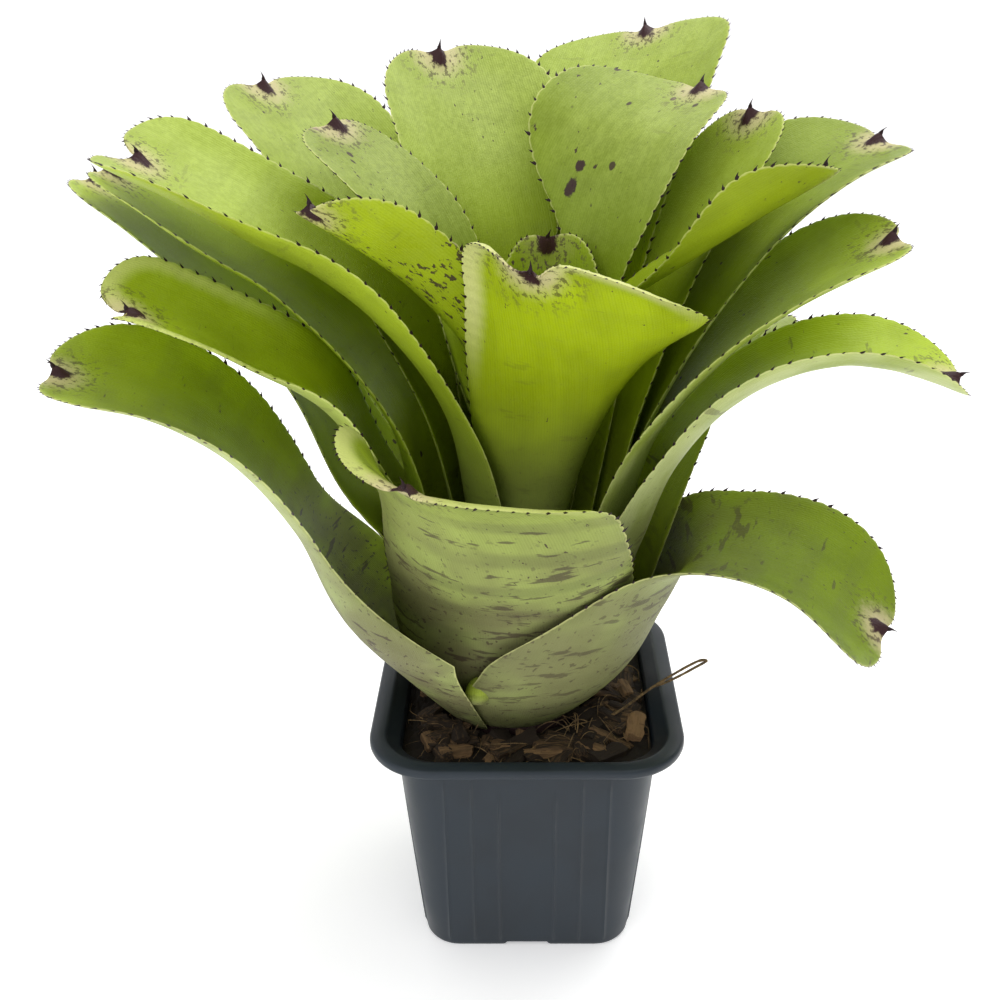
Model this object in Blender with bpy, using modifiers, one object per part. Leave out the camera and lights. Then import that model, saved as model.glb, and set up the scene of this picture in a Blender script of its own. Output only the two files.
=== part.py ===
"""A neoregelia in a square nursery pot.

Frame: the origin is the middle of the pot's base, +X runs to the right of the front view,
+Y runs away from it and +Z is up.  Every size below is in millimetres; MM turns it into metres.

Each leaf is one curved sheet.  Its rib is a smooth curve in the upright plane at its azimuth.
Near the base the sheet lies on a surface turned about the plant's axis, so the sheaths nest in
one another; towards the tip it opens into a cupped blade with toothed margins.
"""

import math
from dataclasses import dataclass

import bmesh
import bpy
import numpy as np

MM = 0.001
COLLECTION = "neoregelia_in_pot"

# Pot: half widths and corner radii of its rounded square sections
POT_HEIGHT = 85.0
RIM_HALF, RIM_CORNER = 50.0, 21.0
RIM_DROP = 3.2
RIM_LAND = 4.8
BODY_TOP_HALF, BODY_TOP_CORNER = 41.9, 14.4
BODY_BASE_HALF, BODY_BASE_CORNER = 35.0, 12.0
WALL = 1.2
FLOOR = 2.0
CORNER_POINTS = 8
NOTCH_WIDTH, NOTCH_HEIGHT = 15.0, 1.6
DRAIN_RADIUS, DRAIN_OFFSET = 4.0, 18.0

# Potting mix: its top lies below the rim, with a plain stepped hole for the plant
GAP = 0.3
MIX_TOP = 78.0
MIX_LUMP = 0.9
HOLE_RADIUS, HOLE_DEPTH = 27.6, 6.0

# Plant: where its axis stands, and how far it leans to +X for each millimetre of height
AXIS_X, AXIS_Y = -5.0, 7.0
LEAN, LEAN_FROM = 0.08, 80.0
STEM_RADIUS = 23.3
STEM_FOOT, STEM_SHOULDER, STEM_TOP = 56.0, 76.4, 100.0
STEM_TOP_RADIUS = 1.0

# Leaf sheets: the innermost and outermost places of the three lowest rib points
LAYERS = 24
BASE_INNER, BASE_OUTER = (2.5, 100.0), (25.0, 77.0)
MID_INNER, MID_OUTER = (3.0, 125.0), (43.0, 99.0)
THROAT_INNER, THROAT_OUTER = (5.0, 160.0), (55.0, 128.0)
LEAF_THICKNESS = 0.7
COLUMNS = 8
BODY_ROWS, TIP_ROWS = 8, 4
TIP_SPAN = 0.97
NOTCH_REACH = 7.0
MUCRO_LENGTH = 6.5
MUCRO_SHARE = 0.6

# Margin teeth: fewer than on the living leaf, at their true size
TOOTH_LENGTH, TOOTH_WIDTH = 1.5, 2.4
TOOTH_LEAN = 0.8
FIRST_TOOTH_ROW = 5

# Loose aerial root that loops out over the rim, as points of a smooth line
ROOT_RADIUS = 0.45
ROOT_POINTS = (
    (24.0, -15.0, 78.5), (32.0, -13.0, 82.5), (41.0, -9.0, 87.5), (50.0, -6.0, 92.0),
    (57.0, -4.0, 95.0), (60.0, -3.0, 94.5), (56.0, -3.5, 92.0), (49.0, -5.5, 89.0),
    (42.0, -7.0, 86.5),
)


@dataclass
class Leaf:
    """One leaf: `rib` lists (distance from the axis, height) above the throat."""

    name: str
    azimuth: float
    rib: tuple
    sheath: float
    blade: float
    cup: tuple = (40.0, 60.0)
    cup_clockwise: tuple = None
    twist: float = 0.0
    sway: float = 0.0
    neck: tuple = (0.25, 0.55)
    opening: tuple = (0.3, 0.75)
    halves: tuple = (1.0, 1.0)
    clasp: tuple = (1.0, 1.0)
    wrap: float = 1.35
    tip: float = 30.0
    square: float = 2.3
    notch: float = 3.0
    mid: tuple = None
    throat: tuple = None


# The leaves from the innermost layer to the outermost
LEAVES = (
    Leaf("leaf_heart_right", 353, ((9, 190), (21, 214), (43, 231), (79, 256)), 10, 30,
         cup=(24, 60), cup_clockwise=(22, 30), neck=(0.6, 0.9), halves=(1.15, 0.3)),
    Leaf("leaf_heart_back", 92, ((13, 200), (21, 233)), 11, 23,
         cup=(22, 34), neck=(0.4, 0.7), halves=(0.8, 0.65), clasp=(1, 0.7)),
    Leaf("leaf_cup_left", 212, ((14, 180), (27, 207), (44, 225), (80, 251)), 14, 38,
         cup=(15, 20), twist=15, neck=(0.45, 0.7), halves=(0.33, 0.54), clasp=(0.6, 1), tip=26),
    Leaf("leaf_inner_back_left", 156, ((24, 190), (37, 225), (56, 248), (79, 263)), 16, 34,
         cup=(30, 60), twist=-9, neck=(0.6, 0.9), halves=(0.38, 0.82)),
    Leaf("leaf_cup_front", 285, ((25, 190), (35, 215), (52, 246)), 26, 42,
         cup=(28, 120), cup_clockwise=(28, 40), sway=-24, twist=-30, opening=(0.4, 0.8),
         neck=(0.5, 0.85), halves=(0.52, 1.12), notch=10),
    Leaf("leaf_inner_back_right", 48, ((21, 190), (30, 231), (44, 257), (72, 270)), 12, 33,
         cup=(30, 70), neck=(0.6, 0.85), halves=(0.5, 1.3), clasp=(0.7, 1)),
    Leaf("leaf_tall_back", 119, ((28, 190), (43, 228), (64, 256), (87, 281)), 20, 36,
         cup=(34, 80), neck=(0.55, 0.85), halves=(1, 0.7)),
    Leaf("leaf_upper_left", 181, ((28, 180), (52, 213), (88, 238), (128, 260)), 24, 36,
         cup=(30, 60), twist=-8, neck=(0.4, 0.7), halves=(0.85, 1), tip=22, square=3, notch=8),
    Leaf("leaf_tall_right", 74, ((30, 185), (44, 226), (80, 260), (120, 284)), 24, 36,
         cup=(34, 80), twist=-12, neck=(0.5, 0.8)),
    Leaf("leaf_upper_back_left", 143, ((34, 178), (60, 210), (95, 245), (128, 270)), 26, 35,
         cup=(34, 80), neck=(0.4, 0.7), halves=(1, 0.8)),
    Leaf("leaf_mid_back_right", 35, ((32, 185), (44, 222), (62, 248), (78, 266)), 26, 30,
         neck=(0.5, 0.8), halves=(0.8, 0.5)),
    Leaf("leaf_upper_right", 18, ((36, 180), (54, 218), (80, 246), (109, 257)), 28, 30,
         twist=6),
    Leaf("leaf_mid_right", 355, ((39, 178), (53, 200), (75, 221), (102, 237)), 30, 28,
         twist=6),
    Leaf("leaf_behind_back", 92, ((44, 180), (68, 222), (92, 248), (106, 264)), 30, 28,
         halves=(1, 0.7)),
    Leaf("leaf_mid_left", 174, ((46, 180), (76, 213), (106, 232), (138, 252)), 32, 29,
         halves=(1, 0.85)),
    Leaf("leaf_lower_right", 352, ((46, 168), (62, 190), (88, 202), (126, 194)), 38, 27,
         cup=(28, 36), twist=4, halves=(1, 0.75)),
    Leaf("leaf_lower_left", 202, ((51, 163), (67, 190), (92, 208), (127, 228)), 40, 31,
         cup=(25, 28), halves=(0.92, 0.46), tip=20, square=3, notch=7),
    Leaf("leaf_under_left", 168, ((61, 160), (76, 186), (106, 216), (150, 247)), 32, 28,
         halves=(0.8, 1)),
    Leaf("leaf_hidden_back_left", 126, ((62, 155), (84, 172), (108, 180), (130, 168)), 34, 26,
         halves=(1, 0.8)),
    Leaf("leaf_hidden_back_right", 45, ((62, 158), (72, 178), (92, 190), (112, 178)), 40, 28),
    Leaf("leaf_hidden_back", 88, ((66, 150), (86, 160), (110, 156), (130, 134)), 38, 28),
    Leaf("leaf_outer_front", 258, ((59, 150), (69, 175), (84, 190)), 50, 46,
         cup=(46, 100), cup_clockwise=(42, 34), sway=-20, twist=-10, opening=(0.35, 0.7),
         halves=(0.85, 1.0), wrap=1.7, mid=(38, 101), throat=(46.5, 130)),
    Leaf("leaf_outer_right", 340, ((57, 140), (86, 141), (118, 121)), 56, 29,
         cup=(40, 80), twist=9, neck=(0.3, 0.6), halves=(1.15, 1), clasp=(1.2, 1),
         wrap=1.7, mid=(41, 100), throat=(49, 122)),
    Leaf("leaf_outer_left", 192, ((76, 152), (108, 189), (145, 203)), 48, 30,
         twist=-8, neck=(0.3, 0.5), clasp=(1, 1.5), wrap=1.05, mid=(44, 99), throat=(61, 120)),
)


# Small helpers

def smooth(value, start, end):
    """0 below start, 1 above end, and an S-shaped step between."""
    part = np.clip((value - start) / (end - start), 0.0, 1.0)
    return part * part * (3.0 - 2.0 * part)


def between(inner, outer, share):
    """The point at `share` of the way from inner to outer."""
    return tuple(a + (b - a) * share for a, b in zip(inner, outer))


def material(name, colour, roughness, metallic=0.0):
    """A Principled material in one plain colour."""
    made = bpy.data.materials.new(name)
    made.use_nodes = True
    surface = made.node_tree.nodes["Principled BSDF"]
    surface.inputs["Base Color"].default_value = (*colour, 1.0)
    surface.inputs["Roughness"].default_value = roughness
    surface.inputs["Metallic"].default_value = metallic
    made.diffuse_color = (*colour, 1.0)
    return made


def link(mesh_name, bm, collection, look, smooth_angle=None):
    """A new object from the bmesh, with its material, in the collection."""
    mesh = bpy.data.meshes.new(mesh_name)
    bmesh.ops.recalc_face_normals(bm, faces=bm.faces)
    bm.to_mesh(mesh)
    bm.free()
    if smooth_angle is not None:
        mesh.shade_smooth()
        mesh.set_sharp_from_angle(angle=math.radians(smooth_angle))
    thing = bpy.data.objects.new(mesh_name, mesh)
    thing.data.materials.append(look)
    collection.objects.link(thing)
    return thing


def ring(half, corner, height, centre=(0.0, 0.0)):
    """Points of a rounded square; with corner equal to half it is a circle."""
    points = []
    for quarter in range(4):
        turn = quarter * math.pi / 2.0
        for step in range(CORNER_POINTS):
            angle = (step + 0.5) / CORNER_POINTS * math.pi / 2.0
            x = half - corner + corner * math.cos(angle)
            y = half - corner + corner * math.sin(angle)
            points.append((
                centre[0] + x * math.cos(turn) - y * math.sin(turn),
                centre[1] + x * math.sin(turn) + y * math.cos(turn),
                height,
            ))
    return points


def loft(rings):
    """A closed body through rings with equal numbers of points, capped at both ends."""
    bm = bmesh.new()
    rows = [[bm.verts.new([c * MM for c in point]) for point in points] for points in rings]
    for lower, upper in zip(rows[:-1], rows[1:]):
        count = len(lower)
        for i in range(count):
            j = (i + 1) % count
            bm.faces.new((lower[i], lower[j], upper[j], upper[i]))
    bm.faces.new(rows[0])
    bm.faces.new(rows[-1])
    return bm


def cut(thing, cutters):
    """Boolean differences, one for each cutter."""
    for cutter in cutters:
        boolean = thing.modifiers.new("cut_" + cutter.name, "BOOLEAN")
        boolean.object = cutter
        boolean.operation = "DIFFERENCE"
        boolean.solver = "EXACT"


def hide(cutter):
    """A cutter is drawn as wire and left out of renders."""
    cutter.hide_render = True
    cutter.display_type = "WIRE"


# Pot

def pot_section(height):
    """Half width and corner radius of the body's outside at a height."""
    share = height / (POT_HEIGHT - RIM_DROP)
    half = BODY_BASE_HALF + (BODY_TOP_HALF - BODY_BASE_HALF) * share
    corner = BODY_BASE_CORNER + (BODY_TOP_CORNER - BODY_BASE_CORNER) * share
    return half, corner


def pot_rings():
    """Sections of the pot from under its base, over the rim and down to the inside floor."""
    under = POT_HEIGHT - RIM_DROP
    land = RIM_HALF - RIM_LAND
    step_half, step_corner = pot_section(under - 1.0)
    floor_half, floor_corner = pot_section(FLOOR)
    base_half, base_corner = pot_section(0.0)
    return [
        ring(base_half - 0.7, base_corner - 0.7, 0.0),
        ring(*pot_section(0.8), 0.8),
        ring(*pot_section(under), under),
        ring(RIM_HALF - 1.0, RIM_CORNER - 1.0, under),
        ring(RIM_HALF, RIM_CORNER, under + 1.0),
        ring(RIM_HALF, RIM_CORNER, POT_HEIGHT - 1.1),
        ring(RIM_HALF - 0.9, RIM_CORNER - 0.9, POT_HEIGHT),
        ring(land, RIM_CORNER - RIM_LAND, POT_HEIGHT),
        ring(land - 0.9, RIM_CORNER - RIM_LAND - 0.9, POT_HEIGHT - 0.7),
        ring(land - 1.2, RIM_CORNER - RIM_LAND - 1.2, under + 0.6),
        ring(step_half - WALL, step_corner - WALL, under - 1.0),
        ring(floor_half - WALL, floor_corner - WALL, FLOOR),
    ]


def base_notches(cutters, look):
    """Four boxes that cut a shallow drainage notch under the middle of each side."""
    notches = []
    for quarter in range(4):
        turn = quarter * math.pi / 2.0
        bm = bmesh.new()
        bmesh.ops.create_cube(bm, size=1.0)
        size = (8.0 * MM, NOTCH_WIDTH * MM, 2.0 * NOTCH_HEIGHT * MM)
        bmesh.ops.scale(bm, vec=size, verts=bm.verts)
        notch = link("notch_%d" % (quarter + 1), bm, cutters, look)
        reach = BODY_BASE_HALF * MM
        notch.location = (reach * math.cos(turn), reach * math.sin(turn), 0.0)
        notch.rotation_euler.z = turn
        hide(notch)
        notches.append(notch)
    return notches


def drain_holes(cutters, look):
    """Four round cutters through the floor of the pot."""
    holes = []
    for index, (x, y) in enumerate(((1, 1), (-1, 1), (-1, -1), (1, -1))):
        bm = bmesh.new()
        bmesh.ops.create_cone(
            bm, cap_ends=True, segments=12, radius1=DRAIN_RADIUS * MM,
            radius2=DRAIN_RADIUS * MM, depth=4.0 * FLOOR * MM,
        )
        hole = link("drain_%d" % (index + 1), bm, cutters, look)
        hole.location = (x * DRAIN_OFFSET * MM, y * DRAIN_OFFSET * MM, 0.0)
        hide(hole)
        holes.append(hole)
    return holes


def make_pot(collection, cutters):
    """The thin-walled square pot with its flat lip."""
    look = material("pot_plastic", (0.035, 0.045, 0.055), 0.5)
    pot = link("pot", loft(pot_rings()), collection, look, smooth_angle=30)
    cut(pot, base_notches(cutters, look) + drain_holes(cutters, look))
    return pot


# Potting mix and the root on it

def mix_height(x, y):
    """The uneven top of the mix at a place, from three crossing waves."""
    wave = math.sin(0.21 * x + 0.9) + math.sin(0.27 * y - 0.4) + math.sin(0.16 * (x - y) + 2.0)
    return MIX_TOP + MIX_LUMP * wave / 3.0


def lumpy(points):
    """The same ring with each point raised or lowered to the mix's top."""
    return [(x, y, mix_height(x, y)) for x, y, _ in points]


def hole_ring(radius, height):
    """A circle about the plant's axis."""
    return ring(radius, radius, height, (AXIS_X, AXIS_Y))


def mix_rings():
    """Sections of the mix: up its side, in over its top and down into the plant's hole."""
    low_half, low_corner = pot_section(FLOOR + GAP)
    top_half, top_corner = pot_section(MIX_TOP)
    inset = WALL + GAP
    foot = STEM_FOOT - GAP
    return [
        ring(low_half - inset, low_corner - inset, FLOOR + GAP),
        lumpy(ring(top_half - inset, top_corner - inset, MIX_TOP)),
        lumpy(ring(top_half - inset - 3.0, top_corner, MIX_TOP, (-1.0, 1.0))),
        lumpy(hole_ring(HOLE_RADIUS + 2.5, MIX_TOP)),
        hole_ring(HOLE_RADIUS, MIX_TOP - 1.2),
        hole_ring(HOLE_RADIUS, MIX_TOP - HOLE_DEPTH),
        hole_ring(STEM_RADIUS + 2.0 * GAP, MIX_TOP - HOLE_DEPTH),
        hole_ring(STEM_RADIUS + 2.0 * GAP, foot),
    ]


def chip(cutters, look, index, place, size, turn, tilt):
    """One piece of husk, a tapered block half sunk in the mix."""
    bm = bmesh.new()
    bmesh.ops.create_cube(bm, size=1.0)
    for vert in bm.verts:
        if vert.co.x > 0.0:
            vert.co.y *= 0.75
            vert.co.z *= 0.7
    bmesh.ops.scale(bm, vec=[s * MM for s in size], verts=bm.verts)
    piece = link("chip_%02d" % index, bm, cutters, look)
    x, y = place
    piece.location = (x * MM, y * MM, (mix_height(x, y) + 0.15 * size[2]) * MM)
    piece.rotation_euler = (math.radians(tilt), math.radians(-0.6 * tilt), math.radians(turn))
    hide(piece)
    return piece


# Husk chips: place on the mix, size, turn and tilt in degrees
CHIPS = (
    ((35.0, -19.0), (11.0, 6.0, 6.0), 80, 12),
    ((-23.0, -31.5), (10.0, 5.5, 4.5), 20, -14),
    ((-31.0, -27.0), (8.0, 5.0, 4.0), 110, 10),
    ((22.0, -30.0), (13.0, 5.0, 4.0), 160, 8),
    ((5.0, -33.0), (12.0, 4.5, 3.5), 10, -8),
    ((-10.0, -32.0), (9.0, 4.0, 3.5), 40, 12),
    ((33.5, 2.0), (10.0, 5.0, 4.5), 100, -10),
    ((31.0, 24.0), (9.0, 6.0, 4.0), 35, 10),
    ((-35.0, 4.0), (8.0, 3.0, 3.5), 85, 8),
    ((14.0, 36.0), (10.0, 3.5, 3.5), 5, 8),
    ((-22.0, 36.0), (9.0, 3.5, 3.5), 170, -8),
)


def make_mix(collection, cutters):
    """The husk potting mix, with the larger chips joined to its top."""
    look = material("husk", (0.09, 0.045, 0.02), 0.9)
    mix = link("potting_mix", loft(mix_rings()), collection, look)
    for index, (place, size, turn, tilt) in enumerate(CHIPS, start=1):
        piece = chip(cutters, look, index, place, size, turn, tilt)
        join = mix.modifiers.new("join_" + piece.name, "BOOLEAN")
        join.object = piece
        join.operation = "UNION"
        join.solver = "EXACT"
    return mix


def make_root(collection):
    """A thin loose root that rises from the mix and loops over the rim."""
    curve = bpy.data.curves.new("loose_root", "CURVE")
    curve.dimensions = "3D"
    curve.bevel_depth = ROOT_RADIUS * MM
    curve.bevel_resolution = 1
    curve.resolution_u = 3
    curve.use_fill_caps = True
    line = curve.splines.new("BEZIER")
    line.bezier_points.add(len(ROOT_POINTS) - 1)
    for knot, point in zip(line.bezier_points, ROOT_POINTS):
        knot.co = [c * MM for c in point]
        knot.handle_left_type = "AUTO"
        knot.handle_right_type = "AUTO"
    curve.materials.append(material("root", (0.12, 0.1, 0.03), 0.8))
    root = bpy.data.objects.new("loose_root", curve)
    collection.objects.link(root)
    return root


# Plant

def make_stem(collection):
    """The short stem in the mix, with the cone that the leaf bases sit on."""
    rings = [
        hole_ring(STEM_RADIUS - 1.5, STEM_FOOT),
        hole_ring(STEM_RADIUS, STEM_FOOT + 1.5),
        hole_ring(STEM_RADIUS, STEM_SHOULDER),
        hole_ring(STEM_TOP_RADIUS, STEM_TOP),
    ]
    rings[-1] = [(x + LEAN * (z - LEAN_FROM), y, z) for x, y, z in rings[-1]]
    look = material("stem", (0.2, 0.22, 0.08), 0.7)
    return link("stem", loft(rings), collection, look, smooth_angle=40)


def rib_line(leaf, layer):
    """The leaf's rib as dense (distance, height) points with their lengths along it."""
    share = layer / (LAYERS - 1)
    points = [between(BASE_INNER, BASE_OUTER, share)]
    points.append(leaf.mid or between(MID_INNER, MID_OUTER, share))
    points.append(leaf.throat or between(THROAT_INNER, THROAT_OUTER, share))
    points.extend(leaf.rib)
    points = np.array(points, dtype=float)
    step = np.diff(points, axis=0)
    chord = np.hypot(step[:, 0], step[:, 1])
    place = np.concatenate(([0.0], np.cumsum(chord)))
    slope = step / chord[:, None]
    tangent = np.empty_like(points)
    inner = (chord[1:, None] * slope[:-1] + chord[:-1, None] * slope[1:])
    tangent[1:-1] = inner / (chord[1:] + chord[:-1])[:, None]
    tangent[0] = 1.5 * slope[0] - 0.5 * tangent[1]
    tangent[-1] = 1.5 * slope[-1] - 0.5 * tangent[-2]
    along = np.linspace(0.0, place[-1], 400)
    span = np.clip(np.searchsorted(place, along, side="right") - 1, 0, len(chord) - 1)
    u = ((along - place[span]) / chord[span])[:, None]
    h = chord[span][:, None]
    line = (1 + 2 * u) * (1 - u) ** 2 * points[span] + u * (1 - u) ** 2 * h * tangent[span]
    line += u * u * (3 - 2 * u) * points[span + 1] + u * u * (u - 1) * h * tangent[span + 1]
    piece = np.diff(line, axis=0)
    length = np.concatenate(([0.0], np.cumsum(np.hypot(piece[:, 0], piece[:, 1]))))
    return line, length


def row_places(tip_share):
    """Places of the grid's rows along the rib, closer together round the tip."""
    body = np.linspace(0.0, 1.0 - tip_share, BODY_ROWS + 1)
    turn = np.linspace(0.0, math.asin(TIP_SPAN), TIP_ROWS + 1)[1:]
    return np.concatenate((body, 1.0 - tip_share + tip_share * np.sin(turn)))


def leaf_points(leaf, layer, row, across, out, ahead):
    """Places of sheet points in millimetres, in the plant's own frame.

    row counts grid rows from the base, across runs from -1 (clockwise margin) to 1, out moves
    a point past the margin and ahead moves it on past the tip.
    """
    line, length = rib_line(leaf, layer)
    total = length[-1]
    tip_share = leaf.tip / total
    places = row_places(tip_share)
    t = np.interp(row, np.arange(len(places)), places)

    # Half width: sheath, then blade, then the rounded tip
    neck = smooth(t, *leaf.neck)
    half = leaf.sheath + (leaf.blade - leaf.sheath) * neck
    round_tip = np.clip((t - (1.0 - tip_share)) / tip_share, 0.0, 1.0)
    half = half * np.clip(1.0 - round_tip ** leaf.square, 0.0, 1.0) ** (1.0 / leaf.square)
    side_clasp = np.where(across < 0.0, leaf.clasp[0], leaf.clasp[1])
    side_blade = np.where(across < 0.0, leaf.halves[0], leaf.halves[1])
    gain = side_clasp + (side_blade - side_clasp) * neck
    wide = half * across * gain + out * np.sign(across)

    # Place along the rib, drawn back at the notch of the apex
    s = t * total + ahead
    s = s - leaf.notch * np.exp(-(wide / NOTCH_REACH) ** 2) * smooth(t, 1 - 1.2 * tip_share, 1)
    s = np.maximum(s, 0.0)
    slope = np.gradient(line, axis=0)
    slope /= np.hypot(slope[:, 0], slope[:, 1])[:, None]
    run = np.interp(s, length, slope[:, 0])
    rise = np.interp(s, length, slope[:, 1])
    size = np.hypot(run, rise)
    run, rise = run / size, rise / size
    past = np.maximum(s - total, 0.0)
    r = np.interp(s, length, line[:, 0]) + run * past
    z = np.interp(s, length, line[:, 1]) + rise * past

    # Sheath: on the surface that the rib makes when it turns about the axis
    azimuth = math.radians(leaf.azimuth)
    outward = np.array((math.cos(azimuth), math.sin(azimuth), 0.0))
    sideward = np.array((-math.sin(azimuth), math.cos(azimuth), 0.0))
    upward = np.array((0.0, 0.0, 1.0))
    sway = leaf.sway * np.clip((s / total - 0.35) / 0.65, 0.0, 1.0) ** 2
    reach = half * gain / np.maximum(r, 1.0)
    limit = np.where(reach > leaf.wrap, leaf.wrap / np.maximum(reach, 1e-9), 1.0)
    angle = azimuth + wide / np.maximum(r, 1.0) * limit
    turned = np.stack((r * np.cos(angle), r * np.sin(angle), z), axis=-1)
    turned += sideward * sway[:, None]

    # Blade: an arc across the rib, tilted by the twist
    middle = outward * r[:, None] + upward * z[:, None] + sideward * sway[:, None]
    normal = upward * run[:, None] - outward * rise[:, None]
    twist = (math.radians(leaf.twist) * smooth(s / total, 0.3, 1.0))[:, None]
    chordward = sideward * np.cos(twist) + normal * np.sin(twist)
    inward = normal * np.cos(twist) - sideward * np.sin(twist)
    fade = smooth(s / total, 0.4, 1.0)
    bend = 1.0 / leaf.cup[0] + (1.0 / leaf.cup[1] - 1.0 / leaf.cup[0]) * fade
    if leaf.cup_clockwise:
        low, high = leaf.cup_clockwise
        other = 1.0 / low + (1.0 / high - 1.0 / low) * fade
        bend = np.where(across < 0.0, other, bend)
    opened = middle + chordward * (np.sin(bend * wide) / bend)[:, None]
    opened += inward * ((1.0 - np.cos(bend * wide)) / bend)[:, None]

    share = smooth(s / total, *leaf.opening)[:, None]
    points = turned * (1.0 - share) + opened * share
    points[:, 0] += LEAN * (points[:, 2] - LEAN_FROM)
    return points


def split_margin(bm, edge, start, places):
    """Adds vertices to a grid edge at the given shares of it, and returns them."""
    made = []
    done = 0.0
    for place in places:
        share = (place - done) / (1.0 - done)
        _, vert = bmesh.utils.edge_split(edge, start, share)
        made.append(vert)
        edge = next(e for e in vert.link_edges if e.other_vert(vert) is not start
                    and abs(e.other_vert(vert).co.x) == abs(start.co.x))
        start = vert
        done = place
    return made


def add_tooth(bm, edge, spacing, out):
    """Splits a margin edge so that one hooked tooth stands out of it."""
    start = min(edge.verts, key=lambda v: v.co.y)
    half = 0.5 * TOOTH_WIDTH / spacing
    lean = TOOTH_LEAN / spacing
    first, tip, last = split_margin(bm, edge, start, (0.5 - half, 0.5 + lean, 0.5 + half))
    side = math.copysign(1.0, tip.co.x)
    tip[out] = TOOTH_LENGTH
    tip.co.x += 0.05 * side
    first.co.x += 0.004 * side
    last.co.x += 0.004 * side


def add_mucro(bm, middle, ahead):
    """Draws the middle of the tip row out into a narrow point."""
    for edge in [e for e in middle.link_edges if abs(e.other_vert(middle).co.y - 1.0) < 1e-6]:
        bmesh.utils.edge_split(edge, middle, MUCRO_SHARE)
    middle[ahead] = MUCRO_LENGTH
    middle.co.y += 0.02


def leaf_grid(leaf, layer):
    """A flat grid in sheet coordinates, with its teeth and mucro, split into triangles."""
    rows = BODY_ROWS + TIP_ROWS
    bm = bmesh.new()
    out = bm.verts.layers.float.new("out")
    ahead = bm.verts.layers.float.new("ahead")
    bmesh.ops.create_grid(bm, x_segments=COLUMNS, y_segments=rows, size=1.0)
    _, length = rib_line(leaf, layer)
    places = row_places(leaf.tip / length[-1]) * length[-1]
    step = 2.0 / rows
    for vert in bm.verts:
        vert.co.y = round((vert.co.y + 1.0) / step) * step - 1.0
    margin = [e for e in bm.edges
              if all(abs(abs(v.co.x) - 1.0) < 1e-6 for v in e.verts)
              and e.verts[0].co.x * e.verts[1].co.x > 0.0
              and abs(e.verts[0].co.y - e.verts[1].co.y) > 1e-6]
    for edge in margin:
        row = round((min(v.co.y for v in edge.verts) + 1.0) / step)
        if FIRST_TOOTH_ROW <= row < rows - 1:
            spacing = places[row + 1] - places[row]
            if spacing > 1.6 * TOOTH_WIDTH:
                add_tooth(bm, edge, spacing, out)
    middle = max(bm.verts, key=lambda v: (round(v.co.y, 5), -abs(v.co.x)))
    add_mucro(bm, middle, ahead)
    bmesh.ops.triangulate(bm, faces=bm.faces, quad_method="BEAUTY", ngon_method="BEAUTY")
    return bm, out, ahead, step


def make_leaf(collection, leaf, layer, look):
    """One leaf as a thin solid sheet."""
    bm, out, ahead, step = leaf_grid(leaf, layer)
    verts = list(bm.verts)
    flat = np.array([tuple(v.co) for v in verts])
    tooth = np.array([v[out] for v in verts])
    spike = np.array([v[ahead] for v in verts])
    row = (np.minimum(flat[:, 1], 1.0) + 1.0) / step
    across = np.clip(flat[:, 0], -1.0, 1.0)
    places = leaf_points(leaf, layer, row, across, tooth, spike)
    for vert, place in zip(verts, places):
        vert.co = place * MM
    sheet = link(leaf.name, bm, collection, look, smooth_angle=60)
    sheet.location = (AXIS_X * MM, AXIS_Y * MM, 0.0)
    solid = sheet.modifiers.new("thickness", "SOLIDIFY")
    solid.thickness = LEAF_THICKNESS * MM
    solid.offset = 0.0
    return sheet


def leaf_look(layer):
    """Yellow-green in the heart of the plant, greyer green outside."""
    share = layer / (LAYERS - 1)
    colour = between((0.30, 0.42, 0.02), (0.20, 0.30, 0.06), share)
    return material("leaf_%02d" % (layer + 1), colour, 0.45)


def main():
    for thing in list(bpy.data.objects):
        bpy.data.objects.remove(thing, do_unlink=True)
    collection = bpy.data.collections.new(COLLECTION)
    cutters = bpy.data.collections.new("cutters")
    bpy.context.scene.collection.children.link(collection)
    bpy.context.scene.collection.children.link(cutters)
    make_pot(collection, cutters)
    make_mix(collection, cutters)
    make_root(collection)
    make_stem(collection)
    for layer, leaf in enumerate(LEAVES):
        make_leaf(collection, leaf, layer, leaf_look(layer))


main()
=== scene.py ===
"""Looks for the neoregelia in its square nursery pot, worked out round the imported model.

Lengths inside the functions are in millimetres and MM turns them into metres.  Every leaf is one
sheet: its rib is a smooth curve in the upright plane at its azimuth, the sheath lies on the surface
that this curve makes when it turns about the plant's axis, and the blade is a cupped arc across it.
"""

import math
from dataclasses import dataclass

import bpy
import numpy as np
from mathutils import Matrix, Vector


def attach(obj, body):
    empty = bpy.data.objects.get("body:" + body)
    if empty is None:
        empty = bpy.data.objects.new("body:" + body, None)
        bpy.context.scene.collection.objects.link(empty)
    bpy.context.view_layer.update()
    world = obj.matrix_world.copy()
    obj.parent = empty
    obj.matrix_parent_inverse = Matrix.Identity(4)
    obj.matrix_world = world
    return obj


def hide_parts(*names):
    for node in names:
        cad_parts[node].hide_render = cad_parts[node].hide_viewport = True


bl_info = {
    "name": "Neoregelia in a pot",
    "version": (1, 0, 0),
    "blender": (4, 5, 0),
    "location": "View3D > Sidebar > Neoregelia",
    "description": "Leaves, pot, potting mix and studio for a potted neoregelia",
    "category": "Object",
}

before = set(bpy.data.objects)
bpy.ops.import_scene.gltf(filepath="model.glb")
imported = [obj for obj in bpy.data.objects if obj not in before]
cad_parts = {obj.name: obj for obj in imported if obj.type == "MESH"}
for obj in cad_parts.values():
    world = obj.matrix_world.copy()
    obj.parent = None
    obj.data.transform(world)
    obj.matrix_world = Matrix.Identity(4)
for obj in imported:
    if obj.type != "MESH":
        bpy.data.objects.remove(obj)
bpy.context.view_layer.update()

MM = 0.001
SEED = 41

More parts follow.
